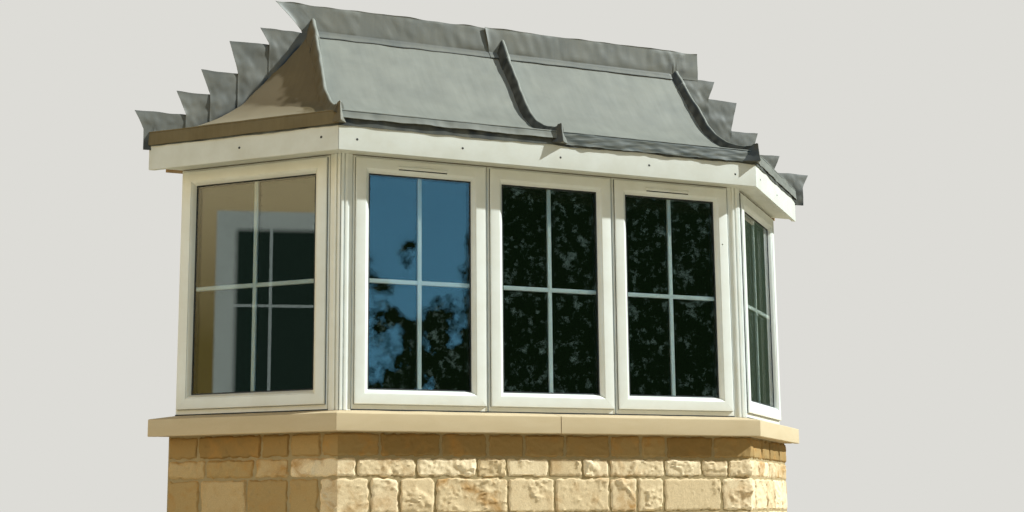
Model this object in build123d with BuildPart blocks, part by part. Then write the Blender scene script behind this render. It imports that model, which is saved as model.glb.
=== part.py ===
from build123d import *
import os
from math import cos, radians, sin, tan

os.makedirs("parts", exist_ok=True)

# A canted bay window: three casements in front and one in each splayed side, on a stone dwarf wall,
# under a swept lead roof. Millimetres, +Z up, outside face towards -Y.
# Origin: on the ground, at the middle of the bay, in the plane of the house wall's outer face.
# A setback is a distance behind the fascia's outer face, measured square to the face it belongs to.
# Sections are drawn with the setback as x and the height above the ground as y.

# Plan
front_width = 1986.0         # outer face of the front fascia, corner to corner
bay_depth = 655.0            # outer face of the front fascia to the face of the house wall
splay = 45.0                 # angle that each side turns back from the front, degrees
reveal_depth = 60.0          # what stands in the house wall's opening runs this far behind its face
hairline = 0.6               # open joint between two boards or two stones

# Masonry
wall_height = 978.0          # ground to the underside of the stone sill
wall_setback = 88.0          # outer leaf, at the face of its mortar joints
outer_leaf = 100.0
cavity = 50.0
inner_leaf = 113.0           # block and plaster
floor_thickness = 150.0
sill_setback = 25.0
sill_thickness = 72.0        # at the front arris
sill_fall = 16.0             # rise of the weathered top from the arris to the frames
sill_tail = 4.0              # the sill runs on behind the frames
sill_joint = 4.0             # mortar joint between the two front sill stones
drip_inset = 22.0            # drip groove, from the sill's front face
drip_width = 10.0
drip_depth = 8.0

# Windows
front_windows = 3
post_leg = 50.0              # corner post, along the frames' outer face from their corner
frame_height = 1060.0
frame_setback = 104.0
frame_depth = 70.0
side_margin = 11.5           # outer frame left showing beside a sash
head_margin = 12.0
foot_margin = 25.0
sash_lap = 33.5              # how far the sash covers the outer frame
sash_stand = 12.0            # the sash stands this far in front of the outer frame
sash_flat = 43.0             # flat face of the sash members
sash_bevel = 20.0            # width of the bevel between the flat face and the glass
sash_clearance = 2.0         # round the sash's body, inside the outer frame
sash_depth = 58.0
glass_recess = 22.0          # outer face of the sealed unit behind the sash's face
glass_thickness = 24.0
glass_cover = 10.0           # edge of the unit held inside the sash
glass_clearance = 0.5
gasket = 2.0                 # lip between the bevel and the glass
post_stand = 8.0             # the corner posts' nose stands in front of the outer frames
post_nose = 24.0             # width of each face of that nose
groove_width = 4.0
groove_depth = 3.0
board_thickness = 25.0       # inner window board
board_nosing = 30.0          # the board runs past the plaster

# Eaves
fascia_drop = 10.0           # the fascia hangs this far below the soffit
fascia_thickness = 18.0
soffit_thickness = 10.0
beam_height = 95.0           # timber plate over the frames
ceiling_thickness = 12.5

# Roof
eaves_height = 168.0         # fascia's lower edge to the top of the lead at the drip
roof_rise = 537.0            # top of the lead at the drip to its top edge at the house wall
eaves_pitch = 7.0            # degrees
roof_pitch = 52.5            # degrees
eaves_flat = 25.0            # straight lead at the eaves before the sweep begins
hip_return = 60.0            # how far each hip comes inwards from the fascia's corner to the wall
lead = 2.65                  # sheet lead
underlay = 0.6               # room left for the felt between the boards and the lead
deck = 18.0                  # boards under the lead
rafter_depth = 95.0
rafter_width = 47.0
rafter_spacing = 400.0
ledger_thickness = 47.0
ledger_height = 150.0
apron_drop = 66.0            # lower edge of the lead apron below the drip
turn_down_left = 43.0        # the left front sheet turns down this far over the apron
turn_down = 60.0             # the other sheets
roll_width = 44.0            # at the lead
roll_crest = 8.0             # flat along the top
roll_flank = 34.0            # depth of the sloping flanks
roll_eaves_lift = 30.0       # top of a roll above the lead, at the drip
roll_wall_lift = 62.0        # and at the house wall
ear_reach = 26.0             # how far the folded end of a roll juts out from the fascia, at its head
ear_spread = 48.0            # from its front edge out to each side, at its foot
ear_spread_left = 34.0       # the left hip's ear, towards the middle
ear_spread_right = 100.0     # the right hip's ear, towards the middle
ear_kick = 16.0              # its foot juts out this much further than its head
ear_foot = 56.0              # its foot below the drip

# Flashings on the house wall's face, heights above the fascia's lower edge.
# The ends of the steps are measured outwards from the foot of the fascia at the house wall.
flashing_top = 836.0
flashing_flap = 42.0         # along the slope, over the top edge of the lead
flashing_lap_top = -85.0     # joint between its two lengths
flashing_lap_foot = -60.0
flashing_left_top = 183.0    # its slanting left end, out from the hip
flashing_left_foot = 47.0
flashing_right = 155.0       # its upright right end, out from the hip
flashing_cover = 35.0        # hidden behind the roof's edge
left_step_tops = (698.0, 622.0, 473.0, 364.0, 262.0)
left_step_ends = (-475.0, -337.0, -216.0, -112.0, 66.0)
right_step_tops = (698.0, 603.0, 449.0, 340.0, 254.0)
right_step_ends = (-462.0, -333.0, -213.0, -86.0, 85.0)
step_taper = 42.0            # each step's end leans back this much
tail_shoulder = 180.0
tail_foot = 87.0
tail_end = 31.0

# Sizes that follow from those above
half_front = front_width / 2
half_splay = splay / 2
frame_back = frame_setback + frame_depth
sash_face = frame_setback - sash_stand
glass_face = sash_face + glass_recess
sill_back = frame_back + sill_tail
inner_face = wall_setback + outer_leaf + cavity + inner_leaf
sill_z = wall_height + sill_thickness
seat_z = sill_z + sill_fall
head_z = seat_z + frame_height
fascia_z = head_z - fascia_drop
eaves_z = fascia_z + eaves_height
roof_top_z = eaves_z + roof_rise
soffit_top_z = head_z + soffit_thickness
beam_top_z = head_z + beam_height
trim_end_y = -lead
drip = 2 * lead
deck_top = lead + underlay
deck_foot = deck_top + deck
reach = front_width + bay_depth
hip_wall_x = half_front - hip_return
foot_wall_x = half_front + bay_depth / tan(radians(splay))

corner = Vector(half_front, -bay_depth)
along_side = Vector(cos(radians(splay)), sin(radians(splay)))
into_side = Vector(-sin(radians(splay)), cos(radians(splay)))
hip_vector = Vector(hip_wall_x, 0) - corner
hip_ratio = hip_vector.length / bay_depth
side_ratio = hip_vector.dot(into_side) / bay_depth

front_section = Plane(origin=(0, -bay_depth, 0), x_dir=(0, 1, 0), z_dir=(1, 0, 0))
side_section = Plane(origin=corner, x_dir=into_side, z_dir=along_side)
hip_section = Plane(
    origin=corner, x_dir=hip_vector.normalized(), z_dir=hip_vector.cross(Vector(0, 0, 1)).normalized()
)
mitre = Plane(origin=corner, z_dir=(cos(radians(half_splay)), sin(radians(half_splay)), 0))
hip_cut = Plane(origin=corner, z_dir=hip_section.z_dir)


def save(piece, name):
    """Label a finished piece and write it."""
    piece.part.label = name
    export_step(piece.part, f"parts/{name}.step")


def mirrored(piece):
    """The same piece on the other side of the bay."""
    with BuildPart() as other:
        mirror(piece.part, about=Plane.YZ)
    return other


def save_both(piece, name):
    """Write a right-hand piece and its mirror image."""
    save(piece, f"{name}_right")
    save(mirrored(piece), f"{name}_left")


def together(*pieces):
    """Several solids that share a node."""
    with BuildPart() as group:
        for piece in pieces:
            add(piece.part)
    return group


def outline(*points):
    """A closed section through (setback, height) points."""
    with BuildSketch() as section:
        with BuildLine():
            Polyline(*points, close=True)
        make_face()
    return section.sketch


def bar(outer, inner, low, high):
    """A rectangular section between two setbacks and two heights."""
    return outline((outer, low), (inner, low), (inner, high), (outer, high))


def front_length(section, cut=mitre, joint=0.0):
    """A section carried along the front and cut at both corners."""
    shift = cut.z_dir * (joint / 2)
    end = cut.origin - shift
    with BuildPart() as piece:
        with BuildSketch(front_section):
            add(section)
        extrude(amount=reach, both=True)
        split(bisect_by=Plane(end, z_dir=cut.z_dir), keep=Keep.BOTTOM)
        split(
            bisect_by=Plane((-end.X, end.Y, 0), z_dir=(-cut.z_dir.X, cut.z_dir.Y, 0)),
            keep=Keep.BOTTOM,
        )
    return piece


def side_length(section, end_y, cut=mitre, joint=0.0):
    """A section carried along the right-hand side, from the corner to the line y = end_y."""
    with BuildPart() as piece:
        with BuildSketch(side_section):
            add(section)
        extrude(amount=reach, both=True)
        split(bisect_by=cut.offset(joint / 2), keep=Keep.TOP)
        split(bisect_by=Plane.XZ.offset(-end_y), keep=Keep.TOP)
    return piece


def half_of_front(piece, joint, right):
    """The part of a front length on one side of the middle."""
    keep = Keep.TOP if right else Keep.BOTTOM
    offset = joint / 2 if right else -joint / 2
    with BuildPart() as half:
        add(piece.part)
        split(bisect_by=Plane.YZ.offset(offset), keep=keep)
    return half


# Dwarf wall: an outer leaf of stone and an inner leaf of plastered block with a cavity between
stone_leaf = bar(wall_setback, wall_setback + outer_leaf, 0, wall_height)
save(front_length(stone_leaf), "outer_wall_front")
save_both(side_length(stone_leaf, 0), "outer_wall")

block_leaf = bar(inner_face - inner_leaf, inner_face, 0, seat_z - board_thickness)
block_side = side_length(block_leaf, reveal_depth, joint=hairline)
save(together(front_length(block_leaf, joint=hairline), block_side, mirrored(block_side)), "inner_wall")

# Floor and ceiling, each one slab inside the walls or the head beams


def bay_slab(setback, low, thickness):
    """A level slab bounded by a setback on three faces and by the back of the bay."""
    front_y = setback - bay_depth
    front_x = half_front - setback * tan(radians(half_splay))
    back_x = front_x + (reveal_depth - front_y) / tan(radians(splay))
    with BuildPart() as slab:
        with BuildSketch(Plane.XY.offset(low)):
            with BuildLine():
                Polyline(
                    (front_x, front_y), (back_x, reveal_depth), (-back_x, reveal_depth), (-front_x, front_y),
                    close=True,
                )
            make_face()
        extrude(amount=thickness)
    return slab


save(bay_slab(inner_face, 0, floor_thickness), "floor_slab")
save(bay_slab(frame_back, head_z, ceiling_thickness), "ceiling_board")

# Stone sill: weathered top, level seat under the frames and a drip groove, in four stones
sill_section = outline(
    (sill_setback, wall_height),
    (sill_setback + drip_inset, wall_height),
    (sill_setback + drip_inset, wall_height + drip_depth),
    (sill_setback + drip_inset + drip_width, wall_height + drip_depth),
    (sill_setback + drip_inset + drip_width, wall_height),
    (sill_back, wall_height),
    (sill_back, seat_z),
    (frame_setback, seat_z),
    (sill_setback, sill_z),
)
front_sill = front_length(sill_section, joint=hairline)
save(half_of_front(front_sill, sill_joint, right=False), "sill_front_left")
save(half_of_front(front_sill, sill_joint, right=True), "sill_front_right")
save_both(side_length(sill_section, 0, joint=hairline), "sill")

board_section = bar(sill_back, inner_face + board_nosing, seat_z - board_thickness, seat_z)
board_side = side_length(board_section, reveal_depth, joint=hairline)
save(together(front_length(board_section, joint=hairline), board_side, mirrored(board_side)), "window_board")

# Windows
corner_at_frame = half_front - frame_setback * tan(radians(half_splay))
window_width = 2 * (corner_at_frame - post_leg) / front_windows
side_frame_width = (bay_depth - frame_setback) / sin(radians(splay)) - post_leg
foot_member = foot_margin + sash_lap
head_member = head_margin + sash_lap
side_member = side_margin + sash_lap
sash_height = frame_height - foot_margin - head_margin
sash_member = sash_flat + sash_bevel


def ring(plane, width, low, high, member, foot=None, head=None):
    """Sketch a rectangular loop whose members have the given widths."""
    foot = member if foot is None else foot
    head = member if head is None else head
    with BuildSketch(plane) as loop:
        with Locations((0, low)):
            Rectangle(width, high - low, align=(Align.CENTER, Align.MIN))
        with Locations((0, low + foot)):
            Rectangle(
                width - 2 * member, high - low - foot - head,
                align=(Align.CENTER, Align.MIN), mode=Mode.SUBTRACT,
            )
    return loop.sketch


def outer_frame(plane, width):
    """Welded outer frame: one loop of box members."""
    loop = ring(
        plane.offset(-frame_setback), width, 0, frame_height, side_member, foot_member, head_member
    )
    with BuildPart() as frame:
        extrude(loop, amount=-frame_depth)
    return frame


def sash(plane, width):
    """Casement: a flange over the outer frame, a bevel down to the glass and a body behind."""
    flange_width = width - 2 * side_margin
    low = foot_margin
    high = foot_margin + sash_height
    sight_width = flange_width - 2 * sash_member
    sight_height = sash_height - 2 * sash_member
    pocket = glass_cover + glass_clearance
    inset = sash_lap + sash_clearance
    flange = ring(plane.offset(-sash_face), flange_width, low, high, sash_member)
    body = ring(
        plane.offset(-frame_setback), flange_width - 2 * inset, low + inset, high - inset,
        sash_member - inset,
    )
    middle = plane * Location((0, (low + high) / 2, 0))
    with BuildPart() as casement:
        extrude(flange, amount=-sash_stand)
        extrude(body, amount=sash_stand - sash_depth)
        with BuildSketch(Plane(middle).offset(-sash_face)):
            Rectangle(sight_width + 2 * sash_bevel, sight_height + 2 * sash_bevel)
        with BuildSketch(Plane(middle).offset(gasket - glass_face)):
            Rectangle(sight_width, sight_height)
        loft(ruled=True, mode=Mode.SUBTRACT)
        with BuildSketch(Plane(middle).offset(-glass_face)):
            Rectangle(sight_width + 2 * pocket, sight_height + 2 * pocket)
        extrude(amount=-glass_thickness, mode=Mode.SUBTRACT)
    return casement


def sealed_unit(plane, width):
    """Double glazing, one block with its edges inside the sash."""
    unit_width = width - 2 * (side_margin + sash_member - glass_cover)
    unit_height = sash_height - 2 * (sash_member - glass_cover)
    with BuildPart() as unit:
        with BuildSketch(plane.offset(-glass_face)):
            with Locations((0, foot_margin + sash_height / 2)):
                Rectangle(unit_width, unit_height)
        extrude(amount=-glass_thickness)
    return unit


def save_window(plane, width, place):
    """The three pieces of one window."""
    save(outer_frame(plane, width), f"frame_{place}")
    save(sash(plane, width), f"sash_{place}")
    save(sealed_unit(plane, width), f"glass_{place}")


for number in range(front_windows):
    middle_x = (number - (front_windows - 1) / 2) * window_width
    face = Plane(origin=(middle_x, -bay_depth, seat_z), x_dir=(1, 0, 0), z_dir=(0, -1, 0))
    save_window(face, window_width, f"front_{number + 1}")

frame_corner = Vector(corner_at_frame, frame_setback - bay_depth, seat_z)
side_origin = frame_corner + along_side * (post_leg + side_frame_width / 2) - into_side * frame_setback
side_face = Plane(origin=side_origin, x_dir=along_side, z_dir=-into_side)
save_both(outer_frame(side_face, side_frame_width), "frame_side")
save_both(sash(side_face, side_frame_width), "sash_side")
save_both(sealed_unit(side_face, side_frame_width), "glass_side")

# Corner posts: a mitred cover with a ribbed nose, filling the angle between two outer frames
nose_setback = frame_setback - post_stand
nose_x = half_front - nose_setback * tan(radians(half_splay))
back_x = half_front - frame_back * tan(radians(half_splay))
leg_x = corner_at_frame - post_leg
with BuildPart() as corner_post:
    with BuildSketch(Plane.XY.offset(seat_z)):
        with BuildLine():
            Polyline(
                (leg_x, frame_setback - bay_depth),
                (nose_x - post_nose, frame_setback - bay_depth),
                (nose_x - post_nose, nose_setback - bay_depth),
                (nose_x, nose_setback - bay_depth),
                (back_x, frame_back - bay_depth),
                (leg_x, frame_back - bay_depth),
                close=True,
            )
        make_face()
        with Locations((nose_x - post_nose / 2, nose_setback - bay_depth)):
            Rectangle(groove_width, 2 * groove_depth, mode=Mode.SUBTRACT)
        with Locations(((leg_x + nose_x - post_nose) / 2, frame_setback - bay_depth)):
            Rectangle(groove_width, 2 * groove_depth, mode=Mode.SUBTRACT)
    extrude(amount=frame_height)
    mirror(about=mitre)
save_both(corner_post, "corner_post")

# Timber plate over the frames, soffit and fascia boards
beam_section = bar(frame_setback, frame_back, head_z, beam_top_z)
beam_front = front_length(beam_section, joint=hairline)
beam_side = side_length(beam_section, reveal_depth, joint=hairline)
head_beam = together(beam_front, beam_side, mirrored(beam_side))
save(head_beam, "head_beam")

soffit_section = bar(fascia_thickness, frame_setback, head_z, soffit_top_z)
soffit_side = side_length(soffit_section, trim_end_y, joint=hairline)
save(together(front_length(soffit_section, joint=hairline), soffit_side, mirrored(soffit_side)), "soffit")

deck_foot_z = eaves_z - deck_foot / cos(radians(eaves_pitch))
fascia_section = bar(0, fascia_thickness, fascia_z, deck_foot_z)
save(front_length(fascia_section, joint=hairline), "fascia_front")
save_both(side_length(fascia_section, trim_end_y, joint=hairline), "fascia")

# Roof surfaces: a nearly level eaves, a sweep and a steep straight top, tangent to each other.
# The sides and the hips carry the same curve, drawn closer or longer so that all meet on the hips.


def under_roof(low, eaves_lift=0.0, wall_lift=0.0):
    """Section of all that lies below the roof's curve, down to a height."""
    eaves_slope = tan(radians(eaves_pitch))
    roof_slope = tan(radians(roof_pitch))
    start_z = eaves_z + eaves_lift
    end_z = roof_top_z + wall_lift
    knee = (end_z - start_z - roof_slope * bay_depth) / (eaves_slope - roof_slope)
    tangent = knee / cos(radians(eaves_pitch)) - eaves_flat
    sweep = tangent / tan(radians(roof_pitch - eaves_pitch) / 2)
    with BuildSketch() as section:
        with BuildLine():
            FilletPolyline(
                (0, start_z), (knee, start_z + knee * eaves_slope), (bay_depth, end_z), radius=sweep
            )
            Polyline((bay_depth, end_z), (bay_depth, low), (0, low), (0, start_z))
        make_face()
    return section.sketch


def below_lead(depth, low):
    """The same at a depth below the lead's surface, measured square to it."""
    return under_roof(low, -depth / cos(radians(eaves_pitch)), -depth / cos(radians(roof_pitch)))


def layer(top, bottom, low=fascia_z):
    """Section between two depths below the lead's surface."""
    return below_lead(top, low) - below_lead(bottom, low)


def squeezed(section, ratio):
    """A section with its setbacks multiplied by a ratio."""
    return scale(section, by=(ratio, 1, 1), about=(0, 0, 0))


deck_layer = layer(deck_top, deck_foot)
deck_side = side_length(squeezed(deck_layer, side_ratio), trim_end_y, cut=hip_cut, joint=hairline)
with BuildPart() as deck_front:
    add(front_length(deck_layer, cut=hip_cut, joint=hairline).part)
    split(bisect_by=Plane.XZ.offset(-trim_end_y), keep=Keep.TOP)
save(together(deck_front, deck_side, mirrored(deck_side)), "roof_deck")

# Lead sheets, each turned down over the apron at the eaves
lead_layer = layer(0, lead)
lip_foot_z = eaves_z - lead / cos(radians(eaves_pitch))


def turned_down(section, drop):
    """A lead section with its lip over the fascia."""
    return section + bar(-drip, 0, lip_foot_z, eaves_z) + bar(-drip, -lead, eaves_z - drop, eaves_z)


def front_sheet(drop, right):
    """One of the two front lead sheets."""
    whole = front_length(turned_down(lead_layer, drop), cut=hip_cut)
    with BuildPart() as sheet:
        add(half_of_front(whole, 0, right).part)
        split(bisect_by=Plane.XZ.offset(-trim_end_y), keep=Keep.TOP)
    return sheet


save(front_sheet(turn_down_left, right=False), "roof_lead_front_left")
save(front_sheet(turn_down, right=True), "roof_lead_front_right")
side_sheet = turned_down(squeezed(lead_layer, side_ratio), turn_down)
save_both(side_length(side_sheet, trim_end_y, cut=hip_cut), "roof_lead")

apron_section = bar(-lead, 0, eaves_z - apron_drop, lip_foot_z)
apron_side = side_length(apron_section, trim_end_y, joint=hairline)
save(together(front_length(apron_section, joint=hairline), apron_side, mirrored(apron_side)), "eaves_apron")

# Rolls: lead dressed over a tapered timber core along the hips and the middle, each ending in a folded ear
lip_body = bar(-drip, 0, fascia_z, eaves_z)
front_body = front_length(below_lead(0, fascia_z) + lip_body, cut=hip_cut)
side_body = side_length(squeezed(below_lead(0, fascia_z), side_ratio) + lip_body, 0, cut=hip_cut)


def ear(origin, outward, right, right_spread, left_spread):
    """Folded end of a roll: a prow with a sharp front edge, narrow at its head and wide at its foot."""
    left = Vector(-1, 0)
    with BuildPart() as prow:
        with BuildSketch(Plane.XY.offset(eaves_z - ear_foot)):
            with BuildLine():
                Polyline(
                    origin + outward * (ear_reach + ear_kick),
                    origin + right * right_spread,
                    origin - outward * ear_reach,
                    origin + left * left_spread,
                    close=True,
                )
            make_face()
        with BuildSketch(Plane.XY.offset(eaves_z + roll_eaves_lift)):
            with BuildLine():
                Polyline(
                    origin + outward * ear_reach,
                    origin + right * roll_crest,
                    origin - outward * ear_reach,
                    origin + left * roll_crest,
                    close=True,
                )
            make_face()
        loft(ruled=True)
    return prow


def roll(section_plane, ratio, prow):
    """A ridge standing on the lead: two flanks, a narrow flat top and an ear at the eaves."""
    band = under_roof(fascia_z, roll_eaves_lift, roll_wall_lift)
    with BuildPart() as piece:
        with BuildSketch(section_plane):
            add(squeezed(band, ratio))
        extrude(amount=roll_width / 2, both=True)
        crown = piece.faces().filter_by(lambda face: face.normal_at().Z > sin(radians(eaves_pitch)))
        for side in (-1, 1):
            flank = section_plane.offset(side * roll_width / 2)
            rims = crown.edges().filter_by(
                lambda edge: abs(flank.to_local_coords(edge.center()).Z) < hairline
            )
            cheek = piece.faces().filter_by(
                lambda face: abs(flank.to_local_coords(face.center()).Z) < hairline
            )
            chamfer(rims, roll_flank, (roll_width - roll_crest) / 2, reference=cheek[0])
        split(bisect_by=Plane.XY.offset(eaves_z), keep=Keep.TOP)
        add(prow.part)
        add(front_body.part, mode=Mode.SUBTRACT)
        add(side_body.part, mode=Mode.SUBTRACT)
        split(bisect_by=Plane.XZ.offset(-trim_end_y), keep=Keep.TOP)
    return piece


front_middle = Vector(0, -bay_depth)
middle_ear = ear(front_middle, Vector(0, -1), Vector(1, 0), ear_spread, ear_spread)
right_ear = ear(corner, -hip_section.x_dir, along_side, ear_spread, ear_spread_right)
left_ear = ear(corner, -hip_section.x_dir, along_side, ear_spread, ear_spread_left)
centre_roll = roll(front_section, 1.0, middle_ear)
hip_roll_right = roll(hip_section, hip_ratio, right_ear)
hip_roll_left = mirrored(roll(hip_section, hip_ratio, left_ear))
save(centre_roll, "centre_roll")
save(hip_roll_right, "hip_roll_right")
save(hip_roll_left, "hip_roll_left")

# Roof timbers: sprocketed rafters that follow the sweep, hung from a ledger on the house wall
eaves_zone = bar(-drip, fascia_thickness, fascia_z, eaves_z)
beam_zone = bar(frame_setback, frame_back, head_z, beam_top_z)
rafter_section = layer(deck_foot, deck_foot + rafter_depth) - eaves_zone - beam_zone
ledger_face = bay_depth - lead - ledger_thickness
ledger_top = (
    roof_top_z - deck_foot / cos(radians(roof_pitch))
    - tan(radians(roof_pitch)) * (bay_depth - ledger_face)
)
ledger_half = hip_wall_x - rafter_width / 2 / hip_section.z_dir.X - hairline
with BuildPart() as ledger:
    with BuildSketch(front_section):
        add(bar(ledger_face, ledger_face + ledger_thickness, ledger_top - ledger_height, ledger_top))
    extrude(amount=ledger_half, both=True)
save(ledger, "ledger")

front_pairs = int((hip_wall_x - rafter_width) / rafter_spacing)
with BuildPart() as front_rafters:
    for number in range(-front_pairs, front_pairs + 1):
        with BuildSketch(front_section.offset(number * rafter_spacing - rafter_width / 2)):
            add(rafter_section)
        extrude(amount=rafter_width)
    split(bisect_by=Plane.XZ.offset(bay_depth - ledger_face), keep=Keep.TOP)

side_face_length = bay_depth / sin(radians(splay))
side_bays = max(round(side_face_length / rafter_spacing), 1) + 1
jack_layer = squeezed(layer(deck_foot, deck_foot + rafter_depth), side_ratio)
jack_section = jack_layer - eaves_zone - beam_zone
with BuildPart() as jack_rafters:
    for number in range(1, side_bays):
        with BuildSketch(side_section.offset(number * side_face_length / side_bays - rafter_width / 2)):
            add(jack_section)
        extrude(amount=rafter_width)
    split(bisect_by=hip_cut.offset(rafter_width / 2 + hairline), keep=Keep.TOP)
    split(bisect_by=Plane.XZ.offset(-trim_end_y), keep=Keep.TOP)

under_deck = below_lead(deck_foot, fascia_z)
with BuildPart() as hip_space:
    add(front_length(under_deck, cut=hip_cut).part)
    add(side_length(squeezed(under_deck, side_ratio), 0, cut=hip_cut).part)
    add(front_length(eaves_zone).part, mode=Mode.SUBTRACT)
    add(side_length(eaves_zone, 0).part, mode=Mode.SUBTRACT)
    add(front_length(beam_zone).part, mode=Mode.SUBTRACT)
    add(side_length(beam_zone, 0).part, mode=Mode.SUBTRACT)
with BuildPart() as hip_rafter:
    with BuildSketch(hip_section):
        add(squeezed(layer(0, deck_foot + rafter_depth), hip_ratio))
    extrude(amount=rafter_width / 2, both=True)
    add(hip_space.part, mode=Mode.INTERSECT)
    split(bisect_by=Plane.XZ.offset(-trim_end_y), keep=Keep.TOP)
rafters = together(front_rafters, jack_rafters, mirrored(jack_rafters), hip_rafter, mirrored(hip_rafter))
save(rafters, "rafters")

# Flashings: lead against the face of the house wall
wall_face = Plane(origin=(0, 0, 0), x_dir=(1, 0, 0), z_dir=(0, -1, 0))
flashing_z = fascia_z + flashing_top
shoulder_z = fascia_z + max(left_step_tops[0], right_step_tops[0])
hidden_z = roof_top_z - flashing_cover
flap_end = bay_depth - lead
flap_start = flap_end - flashing_flap * cos(radians(roof_pitch))
flap_lift = lead / cos(radians(roof_pitch))


def slope_z(setback):
    """Height of the lead's surface on the straight top of the front slope."""
    return roof_top_z - (bay_depth - setback) * tan(radians(roof_pitch))


flap = front_length(
    outline(
        (flap_start, slope_z(flap_start)),
        (flap_end, slope_z(flap_end)),
        (flap_end, slope_z(flap_end) + flap_lift),
        (flap_start, slope_z(flap_start) + flap_lift),
    ),
    cut=hip_cut,
)


def half_flap(hand):
    """The flap on one side of the joint between the two lengths."""
    with BuildPart() as half:
        add(flap.part)
        split(
            bisect_by=Plane.YZ.offset(flashing_lap_foot + hand * hairline),
            keep=Keep.TOP if hand > 0 else Keep.BOTTOM,
        )
    return half


def top_flashing(*end_points, hand):
    """One length of the flashing along the roof's top edge: an upstand and a flap over the lead."""
    with BuildPart() as piece:
        with BuildSketch(wall_face):
            with BuildLine():
                Polyline(
                    (flashing_lap_foot + hand * hairline, hidden_z),
                    (flashing_lap_foot + hand * hairline, slope_z(bay_depth)),
                    (flashing_lap_top + hand * hairline, flashing_z),
                    *end_points,
                    (hand * (hip_wall_x + hairline), shoulder_z),
                    (hand * (hip_wall_x + hairline), hidden_z),
                    close=True,
                )
            make_face()
        extrude(amount=lead)
        add(half_flap(hand).part)
        add(centre_roll.part, mode=Mode.SUBTRACT)
        add((hip_roll_right if hand > 0 else hip_roll_left).part, mode=Mode.SUBTRACT)
    return piece


left_end = (-hip_wall_x - flashing_left_top, flashing_z), (-hip_wall_x - flashing_left_foot, shoulder_z)
right_end = (hip_wall_x + flashing_right, flashing_z), (hip_wall_x + flashing_right, shoulder_z)
save(top_flashing(*left_end, hand=-1), "top_flashing_left")
save(top_flashing(*right_end, hand=1), "top_flashing_right")

behind_edge = squeezed(under_roof(fascia_z, -flashing_cover, -flashing_cover), side_ratio)


def step_flashing(tops, ends):
    """The stepped flashing beside the right-hand slope, its inner edge hidden behind the roof."""
    steps = []
    for top, end, foot in zip(tops, ends, (*tops[1:], tail_shoulder)):
        steps += [(foot_wall_x + end, fascia_z + top), (foot_wall_x + end - step_taper, fascia_z + foot)]
    with BuildPart() as piece:
        with BuildSketch(wall_face):
            with BuildLine():
                Polyline(
                    (hip_wall_x + hairline, fascia_z + tail_foot),
                    (hip_wall_x + hairline, fascia_z + tops[0] - hairline),
                    (foot_wall_x + ends[0], fascia_z + tops[0] - hairline),
                    *steps[1:],
                    (foot_wall_x + tail_end, fascia_z + tail_foot),
                    close=True,
                )
            make_face()
        extrude(amount=lead)
        add(side_length(behind_edge, reveal_depth, cut=hip_cut).part, mode=Mode.SUBTRACT)
    return piece


save(step_flashing(right_step_tops, right_step_ends), "step_flashing_right")
save(mirrored(step_flashing(left_step_tops, left_step_ends)), "step_flashing_left")
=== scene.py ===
# %% [markdown]
# # A canted bay window under a lead roof
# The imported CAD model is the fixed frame: it says where every board, stone and sheet lies.
# This lesson dresses it. Pieces whose shape the CAD gives exactly only get a material; the others are
# rebuilt from arrays and stand for their CAD nodes. Lengths are in millimetres until a mesh is made.

import bpy
import numpy as np
from mathutils import Matrix, Vector


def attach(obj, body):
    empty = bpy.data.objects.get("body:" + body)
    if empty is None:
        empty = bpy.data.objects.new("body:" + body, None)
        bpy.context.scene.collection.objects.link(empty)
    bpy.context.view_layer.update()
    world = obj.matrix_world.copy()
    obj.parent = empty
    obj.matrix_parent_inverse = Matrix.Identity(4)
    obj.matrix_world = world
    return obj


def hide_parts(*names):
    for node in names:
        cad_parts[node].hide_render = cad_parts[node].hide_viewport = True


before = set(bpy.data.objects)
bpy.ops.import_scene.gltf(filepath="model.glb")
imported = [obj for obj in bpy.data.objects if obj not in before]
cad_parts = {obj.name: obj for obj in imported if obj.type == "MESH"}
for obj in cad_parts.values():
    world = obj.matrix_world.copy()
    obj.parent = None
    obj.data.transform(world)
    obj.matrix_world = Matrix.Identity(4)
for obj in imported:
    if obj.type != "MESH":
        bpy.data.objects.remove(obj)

MM = 0.001
scene = bpy.context.scene
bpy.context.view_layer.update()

# %% [markdown]
# ## Colours and nodes
# A colour picked from a photograph is an sRGB hex value, but shaders add light in linear values, so one
# function turns the first into the second. One more function adds a node with its settings and links;
# materials stay readable when every node is written the same way.

# %% Colour and node helpers
RAMP = ("From Min", "From Max", "To Min", "To Max")


def paint(hex_code):
    """Linear RGBA of an sRGB hex colour: each channel over 255, then the sRGB curve undone."""
    srgb = np.array([int(hex_code[i:i + 2], 16) for i in (1, 3, 5)]) / 255
    linear = np.where(srgb <= 0.04045, srgb / 12.92, ((srgb + 0.055) / 1.055) ** 2.4)
    return (*linear.tolist(), 1.0)


def add(tree, kind, inputs=None, out=0, **settings):
    """Adds one shader node and gives back one of its outputs. settings are its own properties, and inputs
    are its sockets, each with a value or with the output that feeds it."""
    made = tree.nodes.new(kind)
    for name, value in settings.items():
        setattr(made, name, value)
    for name, value in (inputs or {}).items():
        socket = made.inputs[name]
        if isinstance(value, bpy.types.NodeSocket):
            tree.links.new(value, socket)
        else:
            socket.default_value = value
    return made.outputs[out] if made.outputs else None


def new_material(name):
    """An empty node material: its tree, ready for a surface."""
    made = bpy.data.materials.new(name)
    made.use_nodes = True
    made.node_tree.nodes.clear()
    return made, made.node_tree


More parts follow.
